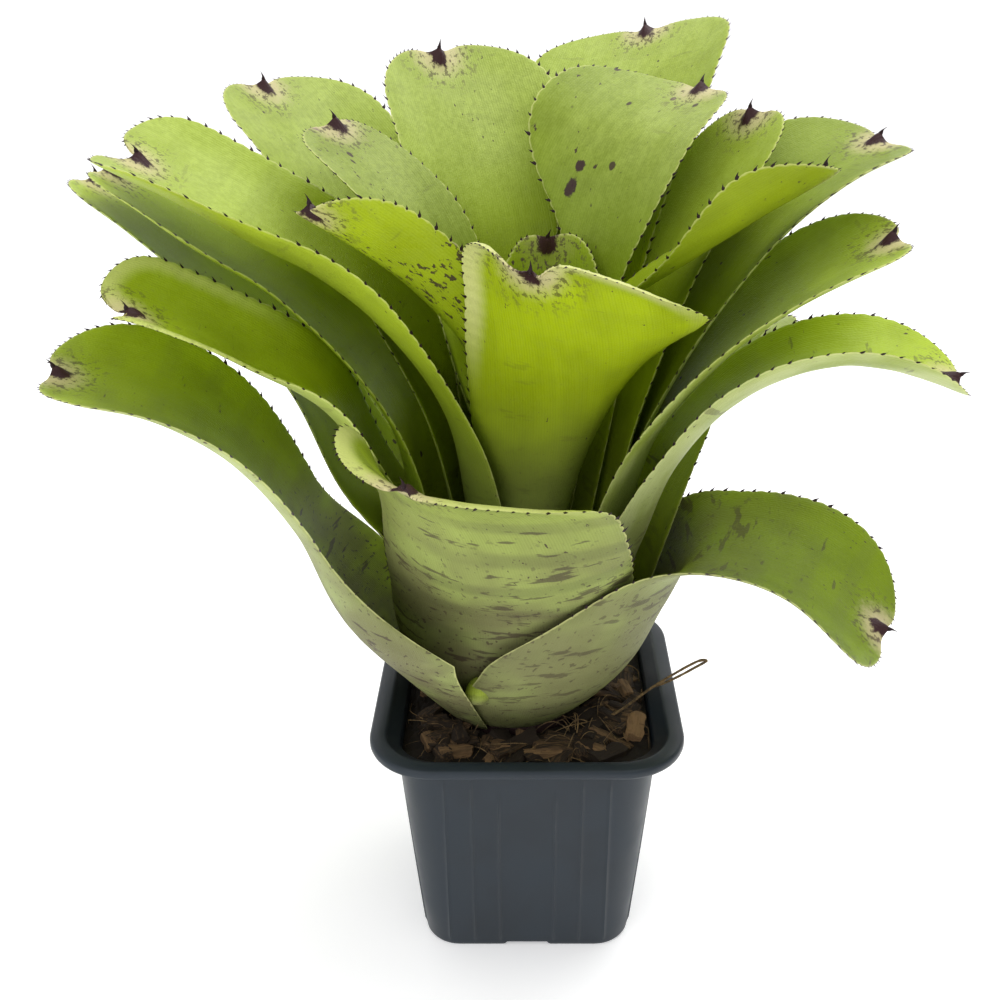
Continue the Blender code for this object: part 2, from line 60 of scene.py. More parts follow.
# Plant: where its axis stands, and how far it leans to +X for each millimetre of height
AXIS_X, AXIS_Y = -5.0, 7.0
LEAN, LEAN_FROM = 0.08, 80.0

# Leaf sheets: LOW_RIB has the three lowest rib points of the innermost and the outermost leaf
LAYERS = 24
LOW_RIB = np.array((((2.5, 100.0), (25.0, 77.0)), ((3.0, 125.0), (43.0, 99.0)),
                    ((5.0, 160.0), (55.0, 128.0))))
NOTCH_REACH = 7.0
LAST_HALF = 0.2
SHEATH_ROWS = 26
ROWS_PER_TOOTH = 4
RIB_STEPS = 900
COLUMNS = 30
FIRST_TOOTH = 0.4
BEAK_HEIGHT, BEAK_HALF, BEAK_LENGTH = 3.2, 3.9, 9.0
BAY_DEPTH = 0.45
LIP_WIDTH, LIP_DROP = 7.0, 3.2
EDGE_ROUNDING = 2.6
SHEATH_FADE_FROM = 45.0
TWIST_FROM, SWAY_FROM, CUP_CHANGES_FROM = 0.3, 0.35, 0.4
CLOSEST_TEETH, TEETH_CLOSE_UP = 0.42, (6.0, 36.0)
FIRST_TOOTH_FROM_TIP = 5.5
PATTERN_STEP = 7.3

# Spines: half widths in millimetres, hook and sunk foot as shares of the length, rings and corners
TOOTH = {"width": 0.8, "depth": 0.3, "hook": 0.85, "rows": 4, "sides": 4, "sunk": 0.5}
CLAW = {"width": 0.8, "depth": 0.7, "hook": 1.35, "rows": 12, "sides": 10, "sunk": 0.7}
TOOTH_TIP, CLAW_TIP = 60.0, 1.0
SPINE_VALUES = {"side": 1.0, "edge": 0.0, "low": 0.0, "spine": 1.0, "beak": 0.0}

# Pot
POT_HEIGHT = 85.0
UNDER_RIM = 81.8
BODY_TOP_HALF, BODY_TOP_CORNER = 41.9, 14.4
BODY_BASE_HALF, BODY_BASE_CORNER = 35.0, 12.0
WALL = 1.2
FLOOR = 2.0
NOTCH_HALF_WIDTH, NOTCH_HEIGHT = 7.5, 1.6
DRAIN_RADIUS, DRAIN_OFFSET, DRAIN_SIDES = 4.0, 18.0, 40
PLEATS, PLEAT_SPREAD = (9.0, 17.6, 26.2), 0.45
SIDE_STEPS, CORNER_STEPS = (0.0, 3.0, 6.0, 6.8, 7.5, 8.2), (12.0, 14.5, 20.5, 23.0)
PLEAT_STEPS = (-1.2, -0.5, -0.25, 0.0, 0.25, 0.5, 1.2)
PLEAT_TOPS = (70.0, 77.0, 77.0)
PLEAT_RINGS = (1.9, 3.0, 4.5, 8.0, 16.0, 26.0, 36.0, 46.0, 56.0, 65.0, 67.0, 69.0, 71.0, 73.0, 75.0,
               77.0, 79.0)

# Potting mix
MIX_TOP, MIX_LUMP = 78.0, 0.9
HOLE_RADIUS, HOLE_DEPTH = 27.6, 6.0
STEM_RADIUS = 23.3
STEM_FOOT, STEM_SHOULDER, STEM_TOP = 56.0, 76.4, 100.0
STEM_SIDES, STEM_LEAN_SHARE = 96, 0.85
GAP = 0.3
MIX_RINGS, MIX_SIDES = 18, 240
CORNER_ON_MIX = 11.0
CHIP_SECTIONS, CHIP_SIDES, CHIP_SQUARE = 7, 10, 9.0
CHIP_SIZES, CHIP_TILT = ((7.0, 16.0), (3.6, 8.5), (1.4, 4.0)), 24.0
FIBRE_ROWS, FIBRE_SIDES, FIBRE_CORNER = 12, 4, 12.0
FIBRE_LENGTH, FIBRE_RISE, FIBRE_RADIUS = (6.0, 24.0), (1.2, 4.6), (0.09, 0.26)
ROOT_ROWS, ROOT_SIDES, ROOT_RADIUS, ROOT_SWELL = 120, 12, 0.45, 0.08

# Stage: the floor in millimetres, the camera and the lights in metres
FLOOR_HALF, FLOOR_RISES_AT, FLOOR_TURN = 4000.0, 1800.0, 900.0
CAMERA_PLACE, CAMERA_DOWN = (0.0, -0.3438, 0.3136), 25.1
CAMERA_SENSOR, CAMERA_SHIFT = 36.0, -0.027
LIGHT_TARGET = (0.0, 0.0, 0.15)
TOP_LIGHT_PLACE, TOP_LIGHT_SIZE = (0.35, 0.25, 1.1), 0.9
FRONT_LIGHT_PLACE, FRONT_LIGHT_SIZE, FRONT_LIGHT_SHARE = (-0.6, -0.9, 0.7), 0.8, 0.4

ROOT_POINTS = (
    (24.0, -15.0, 78.5), (32.0, -13.0, 82.5), (41.0, -9.0, 87.5), (50.0, -6.0, 92.0),
    (57.0, -4.0, 95.0), (60.0, -3.0, 94.5), (56.0, -3.5, 92.0), (49.0, -5.5, 89.0),
    (42.0, -7.0, 86.5),
)

# Husk chips: place on the mix, size, turn and tilt in degrees
CHIPS = (
    ((35.0, -19.0), (11.0, 6.0, 6.0), 80, 12),
    ((-23.0, -31.5), (10.0, 5.5, 4.5), 20, -14),
    ((-31.0, -27.0), (8.0, 5.0, 4.0), 110, 10),
    ((22.0, -30.0), (13.0, 5.0, 4.0), 160, 8),
    ((5.0, -33.0), (12.0, 4.5, 3.5), 10, -8),
    ((-10.0, -32.0), (9.0, 4.0, 3.5), 40, 12),
    ((33.5, 2.0), (10.0, 5.0, 4.5), 100, -10),
    ((31.0, 24.0), (9.0, 6.0, 4.0), 35, 10),
    ((-35.0, 4.0), (8.0, 3.0, 3.5), 85, 8),
    ((14.0, 36.0), (10.0, 3.5, 3.5), 5, 8),
    ((-22.0, 36.0), (9.0, 3.5, 3.5), 170, -8),
)


@dataclass
class Leaf:
    """One leaf, in millimetres and degrees.

    Form: rib lists (distance from the axis, height) above the throat, with mid and throat for the
    points below.  sheath and blade are half widths, which clasp and halves scale on each side;
    wrap is the most that a side turns about the axis, in radians.  neck and opening are where
    the sheath widens and where it opens, as shares of the length.  cup is the radius of the blade's
    arc, low and high; cup_clockwise is that of its clockwise side.  sway bends the rib sideways.
    tip is the length of the rounded end, square its exponent and notch the dent in it.

    Looks: face and back pick the greens of the upper and under side, 0 for the heart's
    yellow-green and 1 for the outer green.  scurf is how grey the upper side turns towards the tip
    and tone makes a leaf lighter or darker, partly for its own green and partly as painted light
    that lifts the leaves shaded inside the rosette and brightens the lit lower left leaf.  flecks,
    spots, bands, wash, lip, halo and bloom_and_sheen are how strong each marking is; the last is
    the pale silvery bloom of the under side, partly a painted sheen.  The sheath's colour has
    faded out `fade` up the leaf.  blots lists dark patches as (across, along, half width, half
    length).
    """

    name: str
    azimuth: float
    rib: tuple
    sheath: float
    blade: float
    cup: tuple = (40.0, 60.0)
    cup_clockwise: tuple = None
    twist: float = 0.0
    sway: float = 0.0
    neck: tuple = (0.25, 0.55)
    opening: tuple = (0.3, 0.75)
    halves: tuple = (1.0, 1.0)
    clasp: tuple = (1.0, 1.0)
    wrap: float = 1.35
    tip: float = 30.0
    square: float = 2.3
    notch: float = 3.0
    mid: tuple = None
    throat: tuple = None
    face: float = 0.4
    back: float = 0.5
    scurf: float = 0.5
    tone: float = 1.0
    flecks: float = 0.2
    spots: float = 0.2
    bands: float = 0.2
    wash: float = 0.2
    lip: float = 0.0
    halo: float = 0.6
    bloom_and_sheen: float = 0.0
    fade: float = 105.0
    blots: tuple = ()


# The leaves from the innermost layer to the outermost
LEAVES = (
    Leaf("leaf_heart_right", 353, ((9, 190), (21, 214), (43, 231), (79, 256)), 10, 30,
         cup=(24, 60), cup_clockwise=(22, 30), neck=(0.6, 0.9), halves=(1.15, 0.3),
         face=0.35, back=0.1, flecks=0.45, scurf=0.0, tone=0.75),
    Leaf("leaf_heart_back", 92, ((13, 200), (21, 233)), 11, 23,
         cup=(22, 34), neck=(0.4, 0.7), halves=(0.8, 0.65), clasp=(1, 0.7),
         face=0.5, flecks=1.0, spots=0.6, scurf=0.0, tone=0.9, halo=0.15),
    Leaf("leaf_cup_left", 212, ((14, 180), (27, 207), (44, 225), (80, 251)), 14, 38,
         cup=(15, 20), twist=15, neck=(0.45, 0.7), halves=(0.33, 0.54), clasp=(0.6, 1), tip=26,
         face=0.25, back=0.1, flecks=1.0, spots=0.5, scurf=0.35),
    Leaf("leaf_inner_back_left", 156, ((24, 190), (37, 225), (56, 248), (79, 263)), 16, 34,
         cup=(30, 60), twist=-9, neck=(0.6, 0.9), halves=(0.38, 0.82),
         face=0.9, spots=1.0, flecks=0.5, scurf=0.9, tone=0.83),
    Leaf("leaf_cup_front", 285, ((25, 190), (35, 215), (52, 246)), 26, 42,
         cup=(28, 120), cup_clockwise=(28, 40), sway=-24, twist=-30, opening=(0.4, 0.8),
         neck=(0.5, 0.85), halves=(0.52, 1.12), notch=10, back=0.05, scurf=0.3, lip=1.0),
    Leaf("leaf_inner_back_right", 48, ((21, 190), (30, 231), (44, 257), (72, 270)), 12, 33,
         cup=(30, 70), neck=(0.6, 0.85), halves=(0.5, 1.3), clasp=(0.7, 1),
         face=0.8, spots=0.9, flecks=0.35, scurf=0.9, tone=0.9,
         blots=((19.5, 148, 2.0, 3.0), (19, 155, 1.7, 2.0))),
    Leaf("leaf_tall_back", 119, ((28, 190), (43, 228), (64, 256), (87, 281)), 20, 36,
         cup=(34, 80), neck=(0.55, 0.85), halves=(1, 0.7), face=0.6, scurf=0.9),
    Leaf("leaf_upper_left", 181, ((28, 180), (52, 213), (88, 238), (128, 260)), 24, 36,
         cup=(30, 60), twist=-8, neck=(0.4, 0.7), halves=(0.85, 1), tip=22, square=3, notch=8,
         back=0.25, scurf=0.75, spots=0.15, tone=1.12),
    Leaf("leaf_tall_right", 74, ((30, 185), (44, 226), (80, 260), (120, 284)), 24, 36,
         cup=(34, 80), twist=-12, neck=(0.5, 0.8), face=0.5, scurf=0.8),
    Leaf("leaf_upper_back_left", 143, ((34, 178), (60, 210), (95, 245), (128, 270)), 26, 35,
         cup=(34, 80), neck=(0.4, 0.7), halves=(1, 0.8), face=0.5, back=0.3, scurf=0.9),
    Leaf("leaf_mid_back_right", 35, ((32, 185), (44, 222), (62, 248), (78, 266)), 26, 30,
         neck=(0.5, 0.8), halves=(0.8, 0.5), scurf=0.45),
    Leaf("leaf_upper_right", 18, ((36, 180), (54, 218), (80, 246), (109, 257)), 28, 30,
         twist=6, face=0.8, back=0.3, scurf=0.3, tone=0.85, bloom_and_sheen=0.4),
    Leaf("leaf_mid_right", 355, ((39, 178), (53, 200), (75, 221), (102, 237)), 30, 28,
         twist=6, face=0.6, back=0.6, scurf=0.25, tone=1.05, bloom_and_sheen=0.5),
    Leaf("leaf_behind_back", 92, ((44, 180), (68, 222), (92, 248), (106, 264)), 30, 28,
         halves=(1, 0.7), face=0.5, scurf=0.8),
    # Its tone is partly painted light, lifting a leaf shaded inside the rosette
    Leaf("leaf_mid_left", 174, ((46, 180), (76, 213), (106, 232), (138, 252)), 32, 29,
         halves=(1, 0.85), face=0.3, back=0.25, scurf=0.25, spots=0.5, tone=1.2),
    Leaf("leaf_lower_right", 352, ((46, 168), (62, 190), (88, 202), (126, 194)), 38, 27,
         cup=(28, 36), twist=4, halves=(1, 0.75), face=0.3, back=0.9, scurf=0.2, wash=0.5, tone=1.2,
         bloom_and_sheen=0.7),
    # Its tone is partly painted light, a painted sheen on this brightly lit leaf
    Leaf("leaf_lower_left", 202, ((51, 163), (67, 190), (92, 208), (127, 228)), 40, 31,
         cup=(25, 28), halves=(0.92, 0.46), tip=20, square=3, notch=7,
         face=0.3, scurf=0.15, lip=0.6, tone=1.15, bloom_and_sheen=0.3),
    # Its tone is partly painted light, lifting a leaf shaded inside the rosette
    Leaf("leaf_under_left", 168, ((61, 160), (76, 186), (106, 216), (150, 247)), 32, 28,
         halves=(0.8, 1), back=0.8, spots=1.0, scurf=0.3, tone=1.15),
    Leaf("leaf_hidden_back_left", 126, ((62, 155), (84, 172), (108, 180), (130, 168)), 34, 26,
         halves=(1, 0.8), face=0.6, back=0.8),
    Leaf("leaf_hidden_back_right", 45, ((62, 158), (72, 178), (92, 190), (112, 178)), 40, 28,
         face=0.6, back=0.8),
    Leaf("leaf_hidden_back", 88, ((66, 150), (86, 160), (110, 156), (130, 134)), 38, 28,
         face=0.6, back=0.8),
    Leaf("leaf_outer_front", 258, ((59, 150), (69, 175), (84, 190)), 50, 46,
         cup=(46, 100), cup_clockwise=(42, 34), sway=-20, twist=-10, opening=(0.35, 0.7),
         halves=(0.85, 1.0), wrap=1.7, mid=(38, 101), throat=(46.5, 130),
         face=0.3, back=0.85, flecks=0.3, bands=1.0, wash=0.75, lip=0.7, scurf=0.2, fade=138.0,
         blots=((-8, 158, 4.5, 2.2), (6, 161, 5.0, 1.6))),
    Leaf("leaf_outer_right", 340, ((57, 140), (86, 141), (118, 121)), 56, 29,
         cup=(40, 80), twist=9, neck=(0.3, 0.6), halves=(1.15, 1), clasp=(1.2, 1),
         wrap=1.7, mid=(41, 100), throat=(49, 122),
         face=1.0, back=0.9, flecks=0.3, bands=0.4, wash=0.6, scurf=0.0, tone=0.92,
         bloom_and_sheen=0.35, fade=125.0),
    Leaf("leaf_outer_left", 192, ((76, 152), (108, 189), (145, 203)), 48, 30,
         twist=-8, neck=(0.3, 0.5), clasp=(1, 1.5), wrap=1.05, mid=(44, 99), throat=(61, 120),
         back=1.0, bands=0.4, wash=0.8, scurf=0.1, tone=1.08, bloom_and_sheen=0.4, fade=125.0),
)
BUD = Leaf("bud", 0.0, (), 0.0, 0.0, back=0.45, flecks=0.5, spots=0.0, wash=0.6, tone=0.8)
BUD_PLACE, BUD_HALF = (-15.2, -32.4, 102.6), (3.9, 3.3, 4.7)
SLOT_OF_LAYER = ("leaf_inner",) * 7 + ("leaf_middle",) * 10 + ("leaf_outer",) * 7


# Colours and sizes that a user may change

def paint(red, green, blue):
    """A colour as the eye reads it, 0 to 255 a channel, turned into linear light."""
    share = np.array((red, green, blue)) / 255.0
    return tuple(np.where(share < 0.04045, share / 12.92, ((share + 0.055) / 1.055) ** 2.4))


def colour(name, description, red, green, blue):
    """A colour setting."""
    return bpy.props.FloatVectorProperty(
        name=name, description=description, default=paint(red, green, blue),
        subtype="COLOR", min=0.0, max=1.0)


def length(name, description, millimetres):
    """A length setting."""
    return bpy.props.FloatProperty(
        name=name, description=description, default=millimetres * MM,
        subtype="DISTANCE", unit="LENGTH", min=0.0, precision=5)


class NeoLeafSettings(bpy.types.PropertyGroup):
    """Sizes and colours of the leaves."""

    thickness: length("Thickness", "Thickness of a leaf along its middle", 0.9)
    tooth_pitch: length("Tooth pitch", "Distance between margin teeth", 4.9)
    tooth_length: length("Tooth length", "How far a margin tooth stands out", 1.5)
    claw_length: length("Tip claw", "Length of the claw at a leaf's tip", 1.6)
    heart: colour("Heart green", "Yellow-green of the heart", 158, 180, 6)
    blade: colour("Blade green", "Deeper green of the outer blades", 116, 138, 8)
    scurf: colour("Scurf", "Grey-green scales towards the tips", 156, 172, 84)
    back_heart: colour("Inner back", "Under side of the inner leaves", 166, 186, 6)
    back_outer: colour("Outer back", "Scaly under side of the outer leaves", 148, 162, 84)
    sheath: colour("Sheath", "Pale sheath at the base", 136, 144, 88)
    blotch: colour("Blotch", "Purple-brown marks", 62, 44, 44)
    lip: colour("Lip", "Pale yellow margin and halo of the tip", 208, 210, 138)
    spine: colour("Spine", "Dark spines", 40, 25, 28)


class NeoPotSettings(bpy.types.PropertyGroup):
    """Sizes and colour of the pot."""

    rim_half: length("Rim half width", "Half the width across the rim", 50.0)
    rim_corner: length("Rim corner", "Corner radius of the rim", 21.0)
    rim_land: length("Rim land", "Width of the flat top of the rim", 4.8)
    pleat: length("Pleat", "How far the upright pleats stand out", 0.5)
    plastic: colour("Plastic", "Blue-black plastic", 29, 38, 46)


class NeoMixSettings(bpy.types.PropertyGroup):
    """Make-up and colours of the potting mix."""

    chips: bpy.props.IntProperty(
        name="Chips", description="How many small husk chips lie on the mix", default=70, min=0)
    fibres: bpy.props.IntProperty(
        name="Fibres", description="How many loose fibres lie on the mix", default=80, min=0)
    dark: colour("Dark husk", "Wet husk in the shade", 38, 30, 22)
    light: colour("Light husk", "Dry husk", 122, 96, 66)
    fibre: colour("Fibre", "Coir fibres", 136, 112, 76)


class NeoStageSettings(bpy.types.PropertyGroup):
    """Backdrop, lights and camera."""

    floor: colour("Floor", "Pale floor", 246, 246, 247)
    sky: bpy.props.FloatProperty(name="Fill", description="Strength of the even fill light",
                                 default=0.8, min=0.0)
    key: bpy.props.FloatProperty(name="Key", description="Power of the large top light",
                                 default=9.0, min=0.0, unit="POWER")
    focal: bpy.props.FloatProperty(name="Focal length", description="Lens of the camera",
                                   default=43.2, min=1.0, unit="CAMERA")


# Surfaces

def running(steps):
    """Running sums of steps, from 0."""
    return np.concatenate(([0.0], np.cumsum(steps)))


def around(count):
    """Even angles of one full turn."""
    return np.linspace(0.0, 2.0 * math.pi, count, endpoint=False)


def blend(first, second, share):
    """The value at `share` of the way from first to second."""
    return first + (second - first) * share


class Surface:
    """Points, faces and point values of a piece while it is put together."""

    def __init__(self):
        self.points = []
        self.faces = []
        self.values = []
        self.count = 0

    def add(self, points, faces, **values):
        """Adds points (n, 3), a list of face index arrays, and the points' values by attribute:
        an array, or one number for all."""
        self.points.append(points)
        self.faces.extend(group + self.count for group in faces)
        self.values.append({key: value if np.ndim(value) else np.full(len(points), value)
                            for key, value in values.items()})
        self.count += len(points)

    def piece(self, name, look, slot, replaced=(), smooth_angle=None):
        """The finished piece: the mesh, its values, material and the nodes it replaces; slot is not
        used.
        """
        mesh = bpy.data.meshes.new(name)
        points = (np.concatenate(self.points) * MM).astype(np.float32)
        corners = np.concatenate([group.ravel() for group in self.faces]).astype(np.int32)
        sizes = np.concatenate([np.full(len(group), group.shape[1]) for group in self.faces])
        mesh.vertices.add(len(points))
        mesh.vertices.foreach_set("co", points.ravel())
        mesh.loops.add(len(corners))
        mesh.loops.foreach_set("vertex_index", corners)
        mesh.polygons.add(len(sizes))
        mesh.polygons.foreach_set("loop_start", running(sizes)[:-1].astype(np.int32))
        mesh.update(calc_edges=True)
        mesh.validate()
        for key in self.values[0]:
            value = np.concatenate([part[key] for part in self.values]).astype(np.float32)
            kind, field = ("FLOAT", "value") if value.ndim == 1 else ("FLOAT_VECTOR", "vector")
            mesh.attributes.new(key, kind, "POINT").data.foreach_set(field, value.ravel())
        if smooth_angle is not None:
            mesh.shade_smooth()
            mesh.set_sharp_from_angle(angle=math.radians(smooth_angle))
        mesh.materials.append(look)
        made = bpy.data.objects.new(name, mesh)
        bpy.context.scene.collection.objects.link(made)
        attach(made, "root")
        if replaced:
            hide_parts(*replaced)
        return made


def single(name, shape, look, slot, replaced=(), smooth_angle=None, **values):
    """A piece made of one shape: points and faces."""
    surface = Surface()
    surface.add(*shape, **values)
    return surface.piece(name, look, slot, replaced, smooth_angle)


def quads(index, wrap=False):
    """Quads of a grid of point indices; wrap joins its last column to its first."""
    if wrap:
        index = np.concatenate((index, index[:, :1]), axis=1)
    return np.stack((index[:-1, :-1], index[:-1, 1:], index[1:, 1:], index[1:, :-1]),
                    axis=-1).reshape(-1, 4)


def fan(ring, centre):
    """Triangles from each edge of a ring of point indices to one point."""
    return np.stack((ring, np.roll(ring, -1), np.full(len(ring), centre)), axis=-1)


def many_shells(count, rows, sides):
    """Faces of `count` like shells, each of rows of rings of points: their sides and their ends."""
    one = np.arange(rows * sides).reshape(rows, sides)
    first = np.arange(count)[:, None, None] * one.size
    body = (quads(one, wrap=True) + first).reshape(-1, 4)
    return body, (np.stack((one[0][::-1], one[-1])) + first).reshape(-1, sides)


def closed_stack(rings):
    """A closed skin through rings (rows, n, 3), turning anticlockwise seen from the last one's
    side, with a centre point that closes each end."""
    rows, count = rings.shape[:2]
    index = np.arange(rows * count).reshape(rows, count)
    points = np.concatenate((rings.reshape(-1, 3), rings[:1].mean(axis=1), rings[-1:].mean(axis=1)))
    first, last = rows * count, rows * count + 1
    return points, [quads(index, wrap=True), fan(index[0][::-1], first), fan(index[-1], last)]


def smooth(value, start, end):
    """0 below start, 1 above end, and an S-shaped step between."""
    part = np.clip((value - start) / (end - start), 0.0, 1.0)
    return part * part * (3.0 - 2.0 * part)


def unit(vectors):
    """Vectors scaled to length 1."""
    return vectors / np.maximum(np.linalg.norm(vectors, axis=-1, keepdims=True), 1e-12)


def cubic(points, tangent, span, u, chord=1.0):
    """The cubic from points[span] to the next one, at u from 0 to 1: it leaves and arrives with
    the tangents times the chord."""
    start = (1 + 2 * u) * (1 - u) ** 2 * points[span] + u * (1 - u) ** 2 * chord * tangent[span]
    end = u * u * (3 - 2 * u) * points[span + 1] + u * u * (u - 1) * chord * tangent[span + 1]
    return start + end


def wander(draw, *places, scale=1.0, waves=5):
    """Soft random hills: the mean of sine waves of random direction and phase over the places."""
    total = 0.0
    for _ in range(waves):
        pull = draw.normal(size=len(places)) * scale
        total = total + np.sin(sum(p * k for p, k in zip(places, pull)) + draw.uniform(0, 6.28))
    return total / waves


# Leaves

def rib_line(leaf, layer):
    """The rib as dense (distance, height) points and lengths: a cubic through its points whose
    tangents are the chord-weighted means of the neighbouring slopes."""
    share = layer / (LAYERS - 1)
    base, mid, throat = (blend(inner, outer, share) for inner, outer in LOW_RIB)
    points = np.array((base, leaf.mid or mid, leaf.throat or throat, *leaf.rib), dtype=float)
    step = np.diff(points, axis=0)
    chord = np.hypot(step[:, 0], step[:, 1])
    place = running(chord)
    slope = step / chord[:, None]
    tangent = np.empty_like(points)
    inner = chord[1:, None] * slope[:-1] + chord[:-1, None] * slope[1:]
    tangent[1:-1] = inner / (chord[1:] + chord[:-1])[:, None]
    tangent[0] = 1.5 * slope[0] - 0.5 * tangent[1]
    tangent[-1] = 1.5 * slope[-1] - 0.5 * tangent[-2]
    along = np.linspace(0.0, place[-1], RIB_STEPS)
    span = np.clip(np.searchsorted(place, along, side="right") - 1, 0, len(chord) - 1)
    u = ((along - place[span]) / chord[span])[:, None]
    line = cubic(points, tangent, span, u, chord[span][:, None])
    return line, running(np.hypot(*np.diff(line, axis=0).T))


def sheet_place(leaf, line, done, t, across, out):
    """Places of the sheet's points, and their place along (mm) and across (mm) the leaf.

    Half width: sheath to blade by an S-step, times the super-ellipse of the tip.  Sheath: the rib's
    point turned about the axis by width over distance.  Blade: an arc of radius `cup` across the
    rib, turned about it by the twist.  The two are mixed by an S-step along the leaf.
    """
    total = done[-1]
    tip_share = leaf.tip / total
    neck = smooth(t, *leaf.neck)
    half = blend(leaf.sheath, leaf.blade, neck)
    round_tip = np.clip((t - (1.0 - tip_share)) / tip_share, 0.0, 1.0)
    half = half * np.clip(1.0 - round_tip ** leaf.square, 0.0, 1.0) ** (1.0 / leaf.square)
    clasp = np.where(across < 0.0, leaf.clasp[0], leaf.clasp[1])
    blade = np.where(across < 0.0, leaf.halves[0], leaf.halves[1])
    gain = blend(clasp, blade, neck)
    wide = half * across * gain + out * np.sign(across)

    s = t * total
    s = s - leaf.notch * np.exp(-(wide / NOTCH_REACH) ** 2) * smooth(t, 1 - 1.2 * tip_share, 1)
    s = np.maximum(s, 0.0)
    slope = np.gradient(line, axis=0)
    slope /= np.hypot(slope[:, 0], slope[:, 1])[:, None]
    run = np.interp(s, done, slope[:, 0])[..., None]
    rise = np.interp(s, done, slope[:, 1])[..., None]
    r = np.interp(s, done, line[:, 0])
    z = np.interp(s, done, line[:, 1])

    azimuth = math.radians(leaf.azimuth)
    outward = np.array((math.cos(azimuth), math.sin(azimuth), 0.0))
    sideward = np.array((-math.sin(azimuth), math.cos(azimuth), 0.0))
    upward = np.array((0.0, 0.0, 1.0))
    swaying = np.clip((s / total - SWAY_FROM) / (1.0 - SWAY_FROM), 0.0, 1.0)
    sway = (leaf.sway * swaying ** 2)[..., None]
    reach = half * gain / np.maximum(r, 1.0)
    limit = np.where(reach > leaf.wrap, leaf.wrap / np.maximum(reach, 1e-9), 1.0)
    angle = azimuth + wide / np.maximum(r, 1.0) * limit
    turned = np.stack((r * np.cos(angle), r * np.sin(angle), z), axis=-1) + sideward * sway

    middle = outward * r[..., None] + upward * z[..., None] + sideward * sway
    normal = upward * run - outward * rise
    twist = (math.radians(leaf.twist) * smooth(s / total, TWIST_FROM, 1.0))[..., None]
    chordward = sideward * np.cos(twist) + normal * np.sin(twist)
    inward = normal * np.cos(twist) - sideward * np.sin(twist)
    fade = smooth(s / total, CUP_CHANGES_FROM, 1.0)
    bend = blend(1.0 / leaf.cup[0], 1.0 / leaf.cup[1], fade)
    if leaf.cup_clockwise:
        low, high = leaf.cup_clockwise
        bend = np.where(across < 0.0, blend(1.0 / low, 1.0 / high, fade), bend)
    opened = middle + chordward * (np.sin(bend * wide) / bend)[..., None]
    opened += inward * ((1.0 - np.cos(bend * wide)) / bend)[..., None]

    share = smooth(s / total, *leaf.opening)[..., None]
    points = turned * (1.0 - share) + opened * share
    points[..., 0] += LEAN * (points[..., 2] - LEAN_FROM) + AXIS_X
    points[..., 1] += AXIS_Y
    return points, s, wide


def margin_rows(leaf, line, done, pitch, draw):
    """Places of the rows: even steps in the sheath, then four to a tooth, measured along the mean
    of the two margins.  The pitch falls to under half round the tip, and is varied a little."""
    tip_share = leaf.tip / done[-1]
    last = (1.0 - LAST_HALF ** leaf.square) ** (1.0 / leaf.square)
    body = np.linspace(FIRST_TOOTH, 1.0 - tip_share, 500)[:-1]
    tip = 1.0 - tip_share + tip_share * last * np.sin(np.linspace(0.0, 0.5 * math.pi, 300))
    t = np.concatenate((body, tip))
    reach = np.zeros(len(t))
    for side in (-1.0, 1.0):
        edge, _, _ = sheet_place(leaf, line, done, t, np.full(len(t), side), np.zeros(len(t)))
        reach += 0.5 * running(np.linalg.norm(np.diff(edge, axis=0), axis=1))
    local = pitch * blend(CLOSEST_TEETH, 1.0, smooth(reach[-1] - reach, *TEETH_CLOSE_UP))
    tally = running(np.diff(reach) / local[1:])
    teeth = max(int(round(tally[-1])), 6)
    knots = np.arange(teeth + 1) + np.concatenate(
        ([0.0], draw.uniform(-0.2, 0.2, teeth - 1), [0.0]))
    rows = np.interp(np.arange(teeth * ROWS_PER_TOOTH + 1) / ROWS_PER_TOOTH,
                     np.arange(teeth + 1), knots) * tally[-1] / teeth
    toothed = np.interp(rows, tally, t)
    sheath = np.linspace(0.0, FIRST_TOOTH, SHEATH_ROWS + 1)[:-1]
    return np.concatenate((sheath, toothed))


def spines(roots, along, outward, size, width, depth, hook, rows, sides, sunk):
    """Hooked spines as (points, faces).

    The centre goes from each root as size * (q * outward + hook * q^2 * along), q from -sunk to 1.
    Across it lies an oval whose half widths are `width` towards `along` and `depth` to the side at
    the longest spine, narrowed by (1 - q)^0.9 ahead of the root and by sqrt(1 - (q / sunk)^2)
    behind it.
    """
    count = len(roots)
    q = np.concatenate((np.linspace(-0.97 * sunk, 0.9, rows), [1.0]))
    taper = np.where(q < 0.0, np.sqrt(1.0 - np.minimum(q, 0.0) ** 2 / sunk ** 2),
                     np.clip(1.0 - q, 0.0, 1.0) ** 0.9)
    bend = hook * np.maximum(q, 0.0) ** 2
    line = roots[:, None] + size[:, None, None] * (
        q[None, :, None] * outward[:, None] + bend[None, :, None] * along[:, None])
    turn = around(sides)[None, None, :, None]
    side = np.cross(along, outward)
    share = (size / size.max())[:, None, None, None] * taper[None, :, None, None]
    oval = share * (np.cos(turn) * width * along[:, None, None]
                    + np.sin(turn) * depth * side[:, None, None])
    rings = (line[:, :, None] + oval)[:, :-1]
    each = rows * sides + 1
    points = np.concatenate((rings.reshape(count, -1, 3), line[:, -1:]), axis=1).reshape(-1, 3)
    index = np.arange(rows * sides).reshape(rows, sides)
    first = np.arange(count)[:, None, None] * each
    body = (quads(index, wrap=True)[:, ::-1][None] + first).reshape(-1, 4)
    point = (fan(index[-1][::-1], rows * sides)[None] + first).reshape(-1, 3)
    bottom = index[0][None] + first[:, 0]
    return points, [body, point, bottom]


def nearest(points, margin):
    """Distance from each point to the nearest of the margin's points."""
    flat = points.reshape(-1, 3)
    gap = flat[:, None, :] - margin[None, :, :]
    return np.sqrt((gap * gap).sum(axis=-1).min(axis=1)).reshape(points.shape[:-1])


